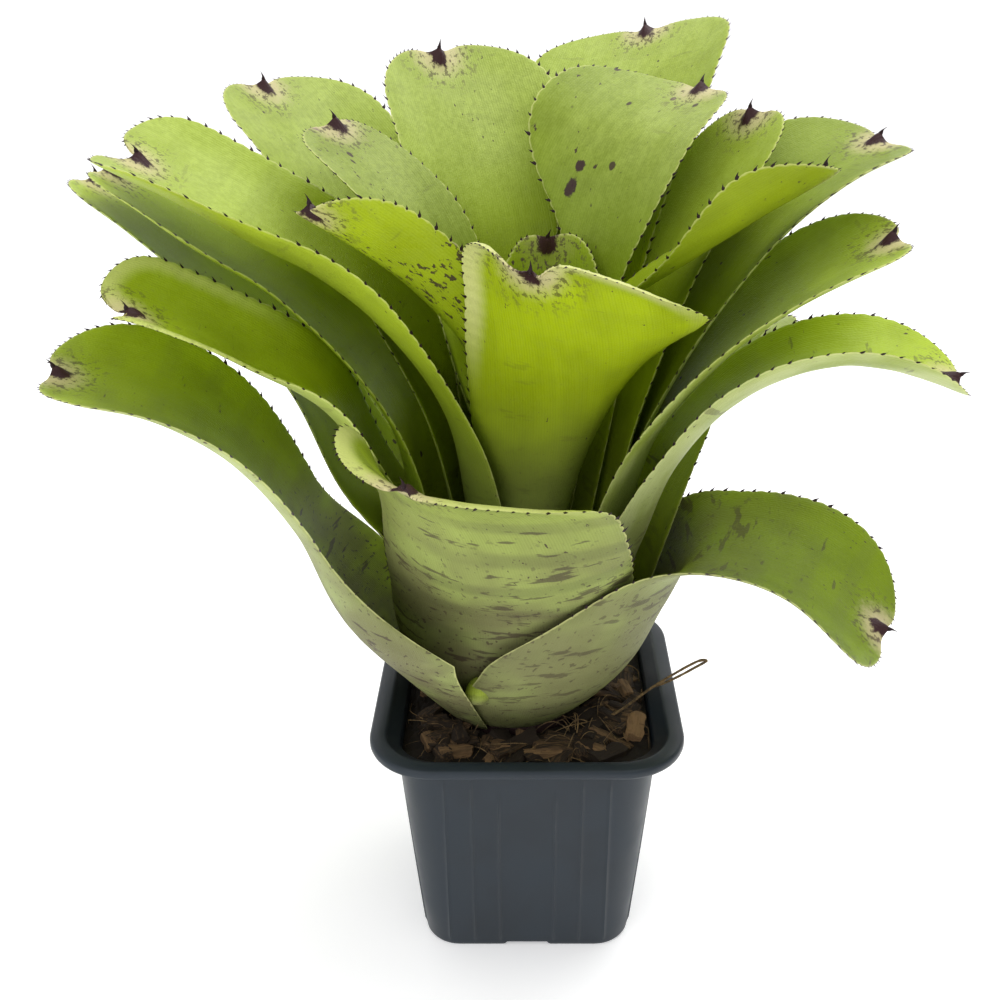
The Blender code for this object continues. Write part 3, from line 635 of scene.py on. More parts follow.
def sheet_grid(leaf, layer, settings, draw):
    """The leaf's sheet as a grid of rows along it and columns across it, with its edges' bays.

    A bay is BAY_DEPTH * sin^2 between two teeth; those of the two margins are half a pitch apart.
    """
    line, done = rib_line(leaf, layer)
    t = margin_rows(leaf, line, done, settings.tooth_pitch / MM, draw)
    w = np.linspace(-1.0, 1.0, COLUMNS + 1)
    v = np.sign(w) * (1.0 - (1.0 - np.abs(w) ** 1.25) ** 1.5)
    grid_t, grid_v = np.meshgrid(t, v, indexing="ij")
    row = np.arange(len(t))[:, None] - SHEATH_ROWS
    phase = row / ROWS_PER_TOOTH + np.where(grid_v < 0.0, 0.5, 0.0)
    grown = smooth(grid_t, FIRST_TOOTH, FIRST_TOOTH + 0.12)
    bay = BAY_DEPTH * np.sin(math.pi * phase) ** 2 * smooth(np.abs(grid_v), 0.8, 1.0) * grown
    bay = bay * (0.5 + 0.5 * smooth(1.0 - grid_t, 0.0, 0.12))
    sheet, s, wide = sheet_place(leaf, line, done, grid_t, grid_v, bay)
    return sheet, s, wide, grid_t, grown[:, 0]


def relief(leaf, s, wide, t, edge, tip, draw):
    """Height of the sheet's relief along its normal, and the share of it that is beak.

    Slow waves run over the blade.  The beak is where the apex is pinched up into a ridge, which
    falls as exp(-(width / half)^2) to its sides.  A lip rolls towards the under side near the tip.
    """
    wave = wander(draw, s, wide, scale=0.07) * 0.7 * smooth(t, 0.5, 0.8)
    wave = wave + wander(draw, s, wide, scale=0.2) * 0.22 * smooth(t, 0.45, 0.7)
    narrow = BEAK_HALF * (0.45 + 0.55 * np.clip(tip / BEAK_LENGTH, 0.0, 1.0))
    beak = np.exp(-(wide / narrow) ** 2) * (1.0 - smooth(tip, 0.0, BEAK_LENGTH)) ** 1.3
    roll = leaf.lip * np.clip(1.0 - edge / LIP_WIDTH, 0.0, 1.0) ** 2 * smooth(tip, 60.0, 30.0)
    return wave + BEAK_HEIGHT * beak, LIP_DROP * roll, beak


def skin_faces(rows, columns):
    """Index grids of the two skins, which share their points along the margins and the tip, and
    the strip of faces that closes the foot."""
    top = np.arange(rows * columns).reshape(rows, columns)
    under = top + rows * columns
    under[:, 0], under[:, -1], under[-1] = top[:, 0], top[:, -1], top[-1]
    cap = np.stack((top[0, :-1], top[0, 1:], under[0, 1:], under[0, :-1]), axis=-1)
    ends = np.array((cap[0, :3], cap[-1, [0, 1, 3]]))
    return top, [quads(top)[:, ::-1], quads(under), cap[1:-1], ends]


def add_teeth(surface, sheet, tip, grown, length_, draw):
    """Teeth along both margins, which point outwards and hook towards the tip."""
    rows, columns = tip.shape
    for column, first in ((0, ROWS_PER_TOOTH // 2), (columns - 1, ROWS_PER_TOOTH)):
        at = np.arange(SHEATH_ROWS + first, rows - 2, ROWS_PER_TOOTH)
        at = at[tip[at, column] > FIRST_TOOTH_FROM_TIP]
        inner = sheet[at, 2 if column == 0 else columns - 3]
        forward = unit(np.gradient(sheet[:, column], axis=0)[at])
        out = sheet[at, column] - inner
        out = unit(out - forward * (out * forward).sum(axis=-1, keepdims=True))
        size = length_ * draw.uniform(0.7, 1.2, len(at)) * (0.4 + 0.6 * grown[at])
        size = size * (0.62 + 0.38 * smooth(tip[at, column], 14.0, 40.0))
        shape, faces = spines(sheet[at, column], forward, out, size, **TOOTH)
        surface.add(shape, faces, place=0.0 * shape, tip=TOOTH_TIP, **SPINE_VALUES)


def add_claw(surface, top, normal, ahead, sidewise, length_, draw):
    """The claw: it leaves the beak's top along the leaf's normal and hooks over towards the tip."""
    lift = unit(normal + 0.25 * ahead)[None]
    lean = unit(ahead + 0.5 * draw.uniform(-1, 1) * sidewise)[None]
    shape, faces = spines(top[None], lean, lift, np.array([length_]), **CLAW)
    surface.add(shape, faces, place=0.0 * shape, tip=CLAW_TIP, **SPINE_VALUES)


def add_leaf(leaf, layer, settings):
    """One leaf: two skins half a thickness to either side of the sheet, which meet along the
    margin; teeth along the margins and a claw at the tip."""
    draw = np.random.default_rng(SEED + layer)
    sheet, s, wide, t, grown = sheet_grid(leaf, layer, settings, draw)
    rows, columns = s.shape
    middle = columns // 2
    ahead = unit(np.gradient(sheet, axis=0))
    ahead[-1] = ahead[-2]
    sidewise = unit(np.gradient(sheet, axis=1))
    normal = unit(np.cross(ahead, sidewise))
    edge = nearest(sheet, np.concatenate((sheet[::2, 0], sheet[-1, ::2], sheet[::2, -1])))
    edge[:, 0] = edge[:, -1] = edge[-1] = 0.0
    tip = np.linalg.norm(sheet - sheet[-1, middle], axis=-1)
    rise, fall, beak = relief(leaf, s, wide, t, edge, tip, draw)
    sheet = sheet + normal * rise[..., None]
    sheet = sheet - normal * fall[..., None]

    near = np.clip(edge / EDGE_ROUNDING, 0.0, 1.0)
    depth = 0.5 * settings.thickness / MM * np.sqrt(1.0 - (1.0 - near) ** 2)
    upper = sheet + normal * depth[..., None]
    lower = sheet - normal * depth[..., None]
    top, faces = skin_faces(rows, columns)
    points = np.concatenate((upper.reshape(-1, 3), lower.reshape(-1, 3)))
    place = np.stack((wide, s, np.full_like(s, layer * PATTERN_STEP)), axis=-1).reshape(-1, 3)
    side = np.concatenate((np.ones(s.size), np.zeros(s.size)))
    side[top[:, 0]] = side[top[:, -1]] = side[top[-1]] = 0.5
    low = 1.0 - smooth(s, SHEATH_FADE_FROM, leaf.fade)
    surface = Surface()
    both = {key: np.tile(value.ravel(), 2) for key, value in (
        ("edge", edge), ("tip", tip), ("low", low), ("beak", beak))}
    surface.add(points, faces, place=np.tile(place, (2, 1)), side=side, spine=0.0, **both)
    add_teeth(surface, sheet, tip, grown, settings.tooth_length / MM, draw)
    add_claw(surface, sheet[-1, middle], normal[-2, middle], ahead[-1, middle],
             sidewise[-1, middle], settings.claw_length / MM, draw)
    return surface


def make_bud(look):
    """The bud where the outer sheaths meet: an egg of half axes BUD_HALF whose rings shrink by
    sqrt(1 - u^2) * (1 - 0.3 u) with u from -1 at its foot to 1 at its top."""
    u = np.sin(np.linspace(-0.47 * math.pi, 0.48 * math.pi, 24))[:, None]
    turn = around(32)[None]
    wide = np.sqrt(1.0 - u * u) * (1.0 - 0.3 * u) * (1.0 + 0.04 * np.cos(5.0 * turn))
    rings = np.stack((wide * np.cos(turn), wide * np.sin(turn), u + 0.0 * turn), axis=-1)
    rings = rings * np.array(BUD_HALF) + np.array(BUD_PLACE)
    points, faces = closed_stack(rings)
    low = smooth(points[:, 2], BUD_PLACE[2] + 1.0, BUD_PLACE[2] - 4.0)
    single("base_bud", (points, faces), look, "leaf_outer", smooth_angle=60,
           place=points * 1.5, side=0.0, edge=9.0, tip=60.0, low=low, spine=0.0, beak=0.0)


# Node groups

class Signal:
    """An output socket whose arithmetic places Math nodes."""

    def __init__(self, wire, socket):
        self.wire = wire
        self.socket = socket

    def __add__(self, other):
        return self.wire.math("ADD", self, other)

    def __sub__(self, other):
        return self.wire.math("SUBTRACT", self, other)

    def __rsub__(self, other):
        return self.wire.math("SUBTRACT", other, self)

    def __mul__(self, other):
        return self.wire.math("MULTIPLY", self, other)

    def clamped(self):
        """The same value held between 0 and 1 by its own Math node."""
        self.socket.node.use_clamp = True
        return self


class Wiring:
    """Shorthand for placing and joining nodes in one tree."""

    def __init__(self, tree):
        self.tree = tree

    def put(self, socket, value):
        """Joins a signal to an input socket, or sets the socket; a colour gets its alpha."""
        if isinstance(value, Signal):
            self.tree.links.new(value.socket, socket)
        elif socket.type == "RGBA":
            socket.default_value = (*value, 1.0)
        else:
            socket.default_value = value

    def fill(self, node, inputs):
        """Puts values in a node's inputs, by name with _ for a blank, or by i and a number."""
        for key, value in inputs.items():
            number = key[1:]
            self.put(node.inputs[int(number) if number.isdigit() else key.replace("_", " ")], value)

    def signals(self, node):
        """A node's outputs by name."""
        return {socket.name: Signal(self, socket) for socket in node.outputs}

    def new(self, kind, settings=None, **inputs):
        """A new node with its settings and inputs."""
        made = self.tree.nodes.new("ShaderNode" + kind)
        for key, value in (settings or {}).items():
            setattr(made, key, value)
        self.fill(made, inputs)
        return made

    def node(self, kind, settings=None, output=0, **inputs):
        """One output of a new node."""
        return Signal(self, self.new(kind, settings, **inputs).outputs[output])

    def group(self, tree, **inputs):
        """A node group placed in the tree: its outputs by name."""
        return self.signals(self.new("Group", {"node_tree": tree}, **inputs))

    def math(self, operation, first, second):
        """A Math node's result."""
        return self.node("Math", {"operation": operation}, i0=first, i1=second)

    def most(self, first, *others):
        """The largest of some values."""
        for other in others:
            first = self.math("MAXIMUM", first, other)
        return first

    def mix(self, share, first, second):
        """Two colours mixed by a share."""
        return self.node("Mix", {"data_type": "RGBA"}, 2, i0=share, i6=first, i7=second)

    def ramp(self, value, low, high):
        """0 at low and 1 at high with an S-shaped step between."""
        return self.node("MapRange", {"interpolation_type": "SMOOTHSTEP"}, i0=value, i1=low, i2=high)

    def noise(self, vector, scale, detail, roughness=0.55):
        """A noise texture's value."""
        return self.node("TexNoise", Vector=vector, Scale=scale, Detail=detail, Roughness=roughness)

    def stretch(self, vector, x, y, z=1.0):
        """A vector with its axes scaled."""
        return self.node("Mapping", Vector=vector, Scale=(x, y, z))

    def patches(self, place, x, y, detail, roughness=0.55):
        """Noise with x patches to a millimetre across the leaf and y along it."""
        return self.noise(self.stretch(place, x, y), 1.0, detail, roughness)

    def attribute(self, name, output="Fac"):
        """A point value of the mesh."""
        return self.node("Attribute", {"attribute_name": name}, output)


class Look(Wiring):
    """The wiring of a new material round its Principled shader."""

    def __init__(self, name):
        self.made = bpy.data.materials.new(name)
        self.made.use_nodes = True
        super().__init__(self.made.node_tree)
        self.shader = self.tree.nodes["Principled BSDF"]

    def finish(self, tint, rough, height, strength, distance, gloss):
        """The material with its colour, roughness, relief and the strength of its gloss."""
        normal = self.node("Bump", Height=height, Strength=strength, Distance=distance)
        self.fill(self.shader, {"Base Color": tint, "Roughness": rough, "Normal": normal,
                                "Specular IOR Level": gloss})
        return self.made


def node_group(name, inputs, outputs):
    """A new node group as its wiring, its inputs by name and its output node.  An input is a
    number with its default, or a vector where that is None; every output is a number."""
    tree = bpy.data.node_groups.new(name, "ShaderNodeTree")
    for key, default in inputs.items():
        kind = "NodeSocketVector" if default is None else "NodeSocketFloat"
        socket = tree.interface.new_socket(key, in_out="INPUT", socket_type=kind)
        if default is not None:
            socket.default_value = default
    for key in outputs:
        tree.interface.new_socket(key, in_out="OUTPUT", socket_type="NodeSocketFloat")
    wire = Wiring(tree)
    given = wire.signals(tree.nodes.new("NodeGroupInput"))
    return wire, given, tree.nodes.new("NodeGroupOutput")


def vein_group():
    """Fine lines along the leaf, soft dark bands across it, and a mottle of small pale scales."""
    wire, given, sink = node_group("leaf_veins", {"Place": None, "Bands": 0.2},
                                   ("Lines", "Band", "Cloud", "Mottle", "Grain"))
    place = given["Place"]
    even = wire.node("TexWave", {"wave_type": "BANDS", "bands_direction": "X"}, "Fac",
                     Vector=place, Scale=0.39, Distortion=0.6, Detail=0.0)
    steps = wire.node("TexWave", {"wave_type": "BANDS", "bands_direction": "Y"}, "Fac",
                      Vector=wire.stretch(place, 0.35, 1.0), Scale=0.0225, Distortion=7.0,
                      Detail=1.0, Detail_Scale=0.1)
    band = wire.ramp(steps, 0.45, 0.95) * wire.ramp(wire.patches(place, 0.05, 0.03, 1.0), 0.36, 0.6)
    wire.fill(sink, {
        "Lines": wire.patches(place, 1.6, 0.025, 0.0) * 0.6 + even * 0.4,
        "Band": band * given["Bands"],
        "Cloud": wire.patches(place, 0.06, 0.035, 2.0),
        "Mottle": wire.patches(place, 0.55, 0.4, 3.0, 0.7),
        "Grain": wire.patches(place, 2.2, 1.6, 0.0),
    })
    return wire.tree


def mark_group():
    """Masks of the streaky flecks, the round spots and the long blotches across the sheath."""
    wire, given, sink = node_group(
        "leaf_marks", {"Place": None, "Flecks": 0.3, "Spots": 0.3, "Wash": 0.2, "Low": 0.0},
        ("Mark", "Wash"))
    place, low, wash = given["Place"], given["Low"], given["Wash"]
    fine = wire.patches(place, 0.62, 0.3, 3.0, 0.6)
    reach = wire.ramp(wire.patches(place, 0.05, 0.03, 1.0), 0.36, 0.6) * given["Flecks"]
    fleck = wire.ramp(fine - (0.72 - reach * 0.17), 0.0, 0.045)
    cells = wire.signals(wire.new("TexVoronoi", {"feature": "F1"}, Scale=1.0, Randomness=1.0,
                                  Vector=wire.stretch(place, 0.115, 0.09)))
    kept = wire.node("SeparateColor", Color=cells["Color"]) - (1.0 - given["Spots"])
    size = wire.math("MINIMUM", kept * 0.35, 0.13)
    ragged = cells["Distance"] + (fine - 0.5) * 0.12
    spot = wire.ramp(size - ragged, -0.015, 0.02) * wire.math("GREATER_THAN", kept, 0.0)
    wide = wire.patches(place, 0.06, 0.25, 3.0, 0.6)
    blotch = (wire.ramp(wide - (0.66 - low * 0.09), 0.0, 0.05) * wash).clamped()
    speck = wire.ramp(wire.patches(place, 0.5, 0.5, 1.0), 0.66, 0.7) * low * wash
    base = wire.ramp(wire.patches(place, 0.035, 0.06, 2.0), 0.3, 0.58)
    wire.fill(sink, {"Mark": wire.most(fleck, spot, blotch, speck) * 0.9,
                     "Wash": base * low * wash})
    return wire.tree


def blot_mask(wire, place, blots, rough):
    """A mask of the leaf's own dark patches: ovals about fixed places, with ragged rims."""
    masks = []
    for across, along, half_width, half_length in blots:
        moved = wire.node("VectorMath", {"operation": "SUBTRACT"}, i0=place,
                          i1=(across, along, 0.0))
        scaled = wire.node("VectorMath", {"operation": "MULTIPLY"}, i0=moved,
                           i1=(1.0 / half_width, 1.0 / half_length, 0.0))
        far = wire.node("VectorMath", {"operation": "LENGTH"}, "Value", i0=scaled)
        masks.append(1.0 - wire.ramp(far + (rough - 0.5) * 1.6, 0.75, 1.1))
    return wire.most(*masks)


def leaf_material(leaf, settings, veins, marks):
    """The skin of one leaf: greens, grey scales, lines, marks, thin margin, halo and dark beak."""
    wire = Look("skin_" + leaf.name)
    place = wire.attribute("place", "Vector")
    low, tip, beak, edge = (wire.attribute(key) for key in ("low", "tip", "beak", "edge"))
    vein = wire.group(veins, Place=place, Bands=leaf.bands)
    mark = wire.group(marks, Place=place, Flecks=leaf.flecks, Spots=leaf.spots,
                      Wash=leaf.wash, Low=low)
    lines, grain, scales = vein["Lines"], vein["Grain"], vein["Mottle"]
    heart, blade, inner, outer, scurf, sheath, lip, blotch = (
        np.array(getattr(settings, key)) for key in (
            "heart", "blade", "back_heart", "back_outer", "scurf", "sheath", "lip", "blotch"))
    # tone: partly the leaf's own lightness, partly painted light on shaded leaves and a painted
    # sheen
    face = blend(heart, blade, leaf.face) * leaf.tone
    back = blend(inner, outer, leaf.back) * leaf.tone
    scurf = scurf * leaf.tone

    # Greens: clouds of lighter and darker tissue, grey scales towards the tip, pale fine lines
    cloud = wire.ramp(vein["Cloud"], 0.3, 0.7)
    mottle = wire.ramp(scales, 0.35, 0.68)
    outwards = 1.0 - wire.ramp(tip, 12.0, 84.0)
    veil = (outwards * (cloud * 0.5 + 0.75) * leaf.scurf).clamped()
    upper = wire.mix(veil, wire.mix(cloud, face * 0.84, face * 1.1),
                     wire.mix(mottle, scurf * 0.9, scurf * 1.08))
    under = wire.mix(cloud, back * 0.84, back * 1.1)
    under = wire.mix(wire.ramp(lines, 0.35, 0.65) * (0.32 * leaf.back), under, scurf * 1.12)
    # The pale silvery bloom of the under side, partly a painted sheen of light
    under = wire.mix(wire.ramp(vein["Cloud"], 0.3, 0.62) * leaf.bloom_and_sheen, under,
                     lip * (0.95, 1.0, 1.25))
    upside = wire.math("GREATER_THAN", wire.attribute("side"), 0.5)
    skin = wire.mix(upside, under, upper)
    skin = wire.mix(wire.ramp(lines, 0.6, 0.3) * 0.16, skin, face * 0.55)
    skin = wire.mix(mottle * (outwards * (0.15 * leaf.scurf) + 0.03), skin, scurf * 1.3)

    # The pale sheath, the bands across it, and the brown wash and marks
    skin = wire.mix(low * (0.85 - upside * 0.72), skin, sheath)
    skin = wire.mix(vein["Band"] * 0.36, skin, sheath * 0.42)
    skin = wire.mix(mark["Wash"] * 0.68, skin, blotch * (1.8, 1.9, 1.8))
    skin = wire.mix(mark["Mark"], skin, blotch)
    if leaf.blots:
        skin = wire.mix(blot_mask(wire, place, leaf.blots, scales) * 0.95, skin,
                        blotch * (0.9, 0.7, 1.0))

    # Margin, the pale halo round the tip with its brown speckles, and the dark beak
    rolled = (1.0 - wire.ramp(edge, 2.0, 6.5)) * (1.0 - wire.ramp(tip, 25.0, 60.0))
    margin = wire.most((1.0 - wire.ramp(edge, 0.1, 0.9)) * 0.5, rolled * (0.85 * leaf.lip))
    skin = wire.mix(margin, skin, lip)
    halo = 1.0 - wire.ramp(tip + scales * 9.0, 8.0, 17.0)
    skin = wire.mix(halo * leaf.halo, skin, lip * (1.0, 0.79, 1.3))
    speck = wire.ramp(scales, 0.53, 0.6) * (1.0 - wire.ramp(tip, 8.0, 20.0))
    skin = wire.mix(speck * 0.7, skin, blotch * 1.3)
    dark = wire.ramp(beak * 1.4 + (scales - 0.5) * 0.9, 0.12, 0.42)
    skin = wire.mix(dark, skin, blotch * (0.8, 0.62, 0.7))
    skin = wire.mix(wire.attribute("spine"), skin, settings.spine)

    # Gloss and relief: scales and lines over a satin skin
    return wire.finish(skin, grain * 0.2 + 0.36 + low * 0.12, lines * 0.8 + grain * 0.9,
                       strength=0.5, distance=0.0002, gloss=0.15)


def plastic_material(settings):
    """Satin blue-black plastic with faint flow marks and rubbed patches."""
    wire = Look("pot_plastic_satin")
    spot = wire.node("TexCoord", output="Object")
    cloud = wire.noise(spot, 45.0, 4.0)
    base = np.array(settings.plastic)
    tint = wire.mix(wire.ramp(cloud, 0.3, 0.7), base * 0.85, base * 1.15)
    return wire.finish(tint, wire.ramp(cloud, 0.35, 0.75) * 0.14 + 0.36,
                       wire.noise(spot, 1600.0, 2.0), strength=0.12, distance=0.0001, gloss=0.34)


def husk_material(name, dark, light, stretch=(1.0, 1.0, 1.0), scale=1.0):
    """Fibrous husk: dark and light streaks with a rough, torn surface."""
    wire = Look(name)
    grain = wire.stretch(wire.attribute("grain", "Vector"), *stretch)
    streak = wire.noise(grain, scale, 5.0, 0.65)
    share = (wire.ramp(streak, 0.36, 0.66) * 0.6 + wire.attribute("tone") * 0.55).clamped()
    return wire.finish(wire.mix(share, dark, light), streak * 0.25 + 0.72, streak,
                       strength=0.7, distance=0.0005, gloss=0.25)


# Pot

def perimeter():
    """Distances along one quarter of the outline from the middle of a side: close together at
    the pleats, and then an even share of what is left of the corner."""
    pleats = [pleat + step for pleat in PLEATS for step in PLEAT_STEPS]
    return np.unique(np.round((*SIDE_STEPS, *pleats, *CORNER_STEPS), 3))


def level(flat, height):
    """Flat points (n, 2) set at a height."""
    return np.column_stack((flat, np.broadcast_to(height, len(flat))))


def outline(half, corner, height):
    """A rounded square's points: straight for |u| up to half - corner, then an arc; u is the
    distance along the outline from the middle of a side."""
    fixed = perimeter()
    straight = half - corner
    end = straight + corner * math.pi / 4.0
    reach = max(end, fixed[-1] + 1.5)
    ahead = np.concatenate((fixed, np.linspace(fixed[-1], reach, 12)[1:])) * end / reach
    u = np.concatenate((-ahead[::-1][:-1], ahead[:-1]))
    turn = np.maximum(np.abs(u) - straight, 0.0) / corner
    flat = np.minimum(np.abs(u), straight)
    x = half - corner + corner * np.cos(turn)
    y = np.sign(u) * (flat + corner * np.sin(turn))
    out_x, out_y = np.cos(turn), np.sign(u) * np.sin(turn)
    c, s = np.cos(around(4))[:, None], np.sin(around(4))[:, None]
    points = level(np.stack((x * c - y * s, x * s + y * c), axis=-1).reshape(-1, 2), height)
    normals = level(np.stack((out_x * c - out_y * s, out_x * s + out_y * c), axis=-1).reshape(-1, 2),
                    0.0)
    return points, normals, np.tile(u, 4)


def pot_section(height):
    """Half width and corner radius of the body's outside at a height."""
    share = height / UNDER_RIM
    return (blend(BODY_BASE_HALF, BODY_TOP_HALF, share),
            blend(BODY_BASE_CORNER, BODY_TOP_CORNER, share))


def pleat_ridge(u, height):
    """Share of a pleat's depth at a place of the outline: exp(-(distance / spread)^2) about each
    pleat, faded out at the pleat's top."""
    ridge = np.zeros(len(u))
    for place, top in zip(PLEATS, PLEAT_TOPS):
        fade = float(smooth(height, top, top - 5.0))
        ridge += fade * np.exp(-((np.abs(u) - place) / PLEAT_SPREAD) ** 2)
    return ridge


def pot_rings(settings):
    """Sections of the pot from its foot, up the pleated wall, over the rim and down inside."""
    rim, corner = settings.rim_half / MM, settings.rim_corner / MM
    width = settings.rim_land / MM
    pleat = settings.pleat / MM
    rings = []

    def ring(half, corner_radius, height, notch=0.0, pleated=0.0):
        """Adds a section; the notch lifts its lowest points about the middle of each side."""
        points, normals, u = outline(half, corner_radius, height)
        lift = notch * (1.0 - smooth(np.abs(u), NOTCH_HALF_WIDTH - 0.7, NOTCH_HALF_WIDTH + 0.7))
        points[:, 2] = np.maximum(points[:, 2], lift)
        rings.append(points + normals * (pleated * pleat_ridge(u, height))[:, None])

    def inset(section, steps):
        """Adds sections drawn in from a (half width, corner): (inset, height, notch) each."""
        for step, height, notch in steps:
            ring(section[0] - step, section[1] - step, height, notch)

    ring(6.0, 6.0, 1.0)
    ring(24.0, 8.0, 1.0)
    inset(pot_section(0.0), ((4.6, 1.0, 0.0), (4.1, 0.2, NOTCH_HEIGHT), (3.7, 0.0, NOTCH_HEIGHT),
                             (0.9, 0.0, NOTCH_HEIGHT), (0.3, 0.25, NOTCH_HEIGHT)))
    ring(*pot_section(0.9), 0.9, NOTCH_HEIGHT + 0.05)
    for height in PLEAT_RINGS:
        ring(*pot_section(height), height, pleated=pleat * float(smooth(height, 1.9, 4.5)))
    ring(*pot_section(81.2), 81.2)
    inset(pot_section(UNDER_RIM), ((-0.5, UNDER_RIM, 0.0),))
    inset((rim, corner), (
        (0.9, UNDER_RIM, 0.0), (0.25, UNDER_RIM + 0.25, 0.0), (0.0, UNDER_RIM + 0.9, 0.0),
        (0.0, POT_HEIGHT - 1.1, 0.0), (0.27, POT_HEIGHT - 0.4, 0.0), (0.9, POT_HEIGHT, 0.0)))
    inset((rim - width, corner - width), (
        (-0.3, POT_HEIGHT, 0.0), (0.2, POT_HEIGHT - 0.1, 0.0), (0.8, POT_HEIGHT - 0.6, 0.0),
        (1.1, POT_HEIGHT - 1.4, 0.0)))
    half, round_corner = pot_section(80.8)
    ring(half - WALL + 0.3, round_corner - WALL, UNDER_RIM)
    for height in (80.8, 60.0, 40.0, 20.0, 6.0):
        inset(pot_section(height), ((WALL, height, 0.0),))
    half, round_corner = pot_section(FLOOR)
    ring(half - WALL - 0.2, round_corner - WALL, FLOOR + 0.8)
    ring(half - WALL - 1.2, round_corner - WALL - 1.0, FLOOR)
    ring(24.0, 8.0, FLOOR)
    ring(6.0, 6.0, FLOOR)
    return np.stack(rings)


def drill(thing, places, radius):
    """Cuts round holes of a radius straight through the pot's floor at the places."""
    for x, y in places:
        bpy.ops.mesh.primitive_cylinder_add(
            vertices=DRAIN_SIDES, radius=radius * MM, depth=8.0 * MM,
            location=(x * MM, y * MM, 1.5 * MM))
        cutter = bpy.context.object
        hole = thing.modifiers.new("hole", "BOOLEAN")
        hole.object, hole.operation, hole.solver = cutter, "DIFFERENCE", "EXACT"
        graph = bpy.context.evaluated_depsgraph_get()
        solid = bpy.data.meshes.new_from_object(thing.evaluated_get(graph))
        thing.modifiers.clear()
        thing.data = solid
        bpy.data.objects.remove(cutter, do_unlink=True)


def make_pot(settings):
    """The pot: rings joined into one skin, with four drain holes."""
    pot = single("pot_shell", closed_stack(pot_rings(settings)), plastic_material(settings),
                 "pot_plastic", ("pot",))
    drill(pot, [(x * DRAIN_OFFSET, y * DRAIN_OFFSET) for x in (-1, 1) for y in (-1, 1)],
          DRAIN_RADIUS)
    pot.data.shade_smooth()
    pot.data.set_sharp_from_angle(angle=math.radians(50))


# Potting mix

def mix_height(x, y):
    """The uneven top of the mix at a place, from three crossing waves."""
    wave = np.sin(0.21 * x + 0.9) + np.sin(0.27 * y - 0.4) + np.sin(0.16 * (x - y) + 2.0)
    return MIX_TOP + MIX_LUMP * wave / 3.0


def circle(radius, count):
    """Points of a circle about the plant's axis, (count, 2), starting at -45 degrees."""
    angle = np.linspace(-0.25 * math.pi, 1.75 * math.pi, count, endpoint=False)
    return np.stack((AXIS_X + radius * np.cos(angle), AXIS_Y + radius * np.sin(angle)), axis=-1)


def even_outline(half, corner, count):
    """A rounded square cut into `count` equal steps, starting at its lower right corner."""
    points, _, _ = outline(half, corner, 0.0)
    ring = np.concatenate((points, points[:1]))[:, :2]
    done = running(np.linalg.norm(np.diff(ring, axis=0), axis=1))
    at = np.linspace(0.0, done[-1], count, endpoint=False)
    return np.stack((np.interp(at, done, ring[:, 0]), np.interp(at, done, ring[:, 1])), axis=-1)


def make_bed(settings):
    """The mix: its side and bottom follow the pot's inside; its top runs from the wall to the
    plant's hole, raised by the three waves and by finer crumbs."""
    draw = np.random.default_rng(SEED)
    count = MIX_SIDES
    low_half, low_corner = pot_section(FLOOR + GAP)
    top_half, top_corner = pot_section(MIX_TOP)
    inset = WALL + GAP
    low = even_outline(low_half - inset - 1.0, low_corner - inset, count)
    wall = even_outline(top_half - inset, top_corner - inset, count)
    hole = circle(HOLE_RADIUS, count)
    rings = [level(low, FLOOR + GAP)]
    for share in np.linspace(0.0, 1.0, MIX_RINGS):
        flat = wall * (1.0 - share) + hole * share
        x, y = flat[:, 0], flat[:, 1]
        crumb = wander(draw, x, y, scale=1.1, waves=7) + 0.8 * wander(draw, x, y, scale=2.4)
        height = mix_height(x, y) + 0.7 * crumb * smooth(share, 0.0, 0.08) - 1.2 * (share == 1.0)
        rings.append(level(flat, height))
    pocket = circle(STEM_RADIUS + 2.0 * GAP, count)
    rings.extend((level(hole, MIX_TOP - HOLE_DEPTH), level(pocket, MIX_TOP - HOLE_DEPTH),
                  level(pocket, STEM_FOOT - GAP)))
    shape = closed_stack(np.stack(rings))
    # Near-black bed: wet husk and painted shade of the deep gaps between the chips
    look = husk_material("husk_bed", np.array(settings.dark) * 0.4, settings.dark, scale=0.35)
    single("mix_bed", shape, look, "husk", ("potting_mix",), 60, grain=shape[0], tone=-0.2)


def turned(first, second, angle):
    """Two coordinates turned by an angle for each shape, towards the second axis."""
    c, s = np.cos(angle)[:, None, None], np.sin(angle)[:, None, None]
    return first * c - second * s, first * s + second * c


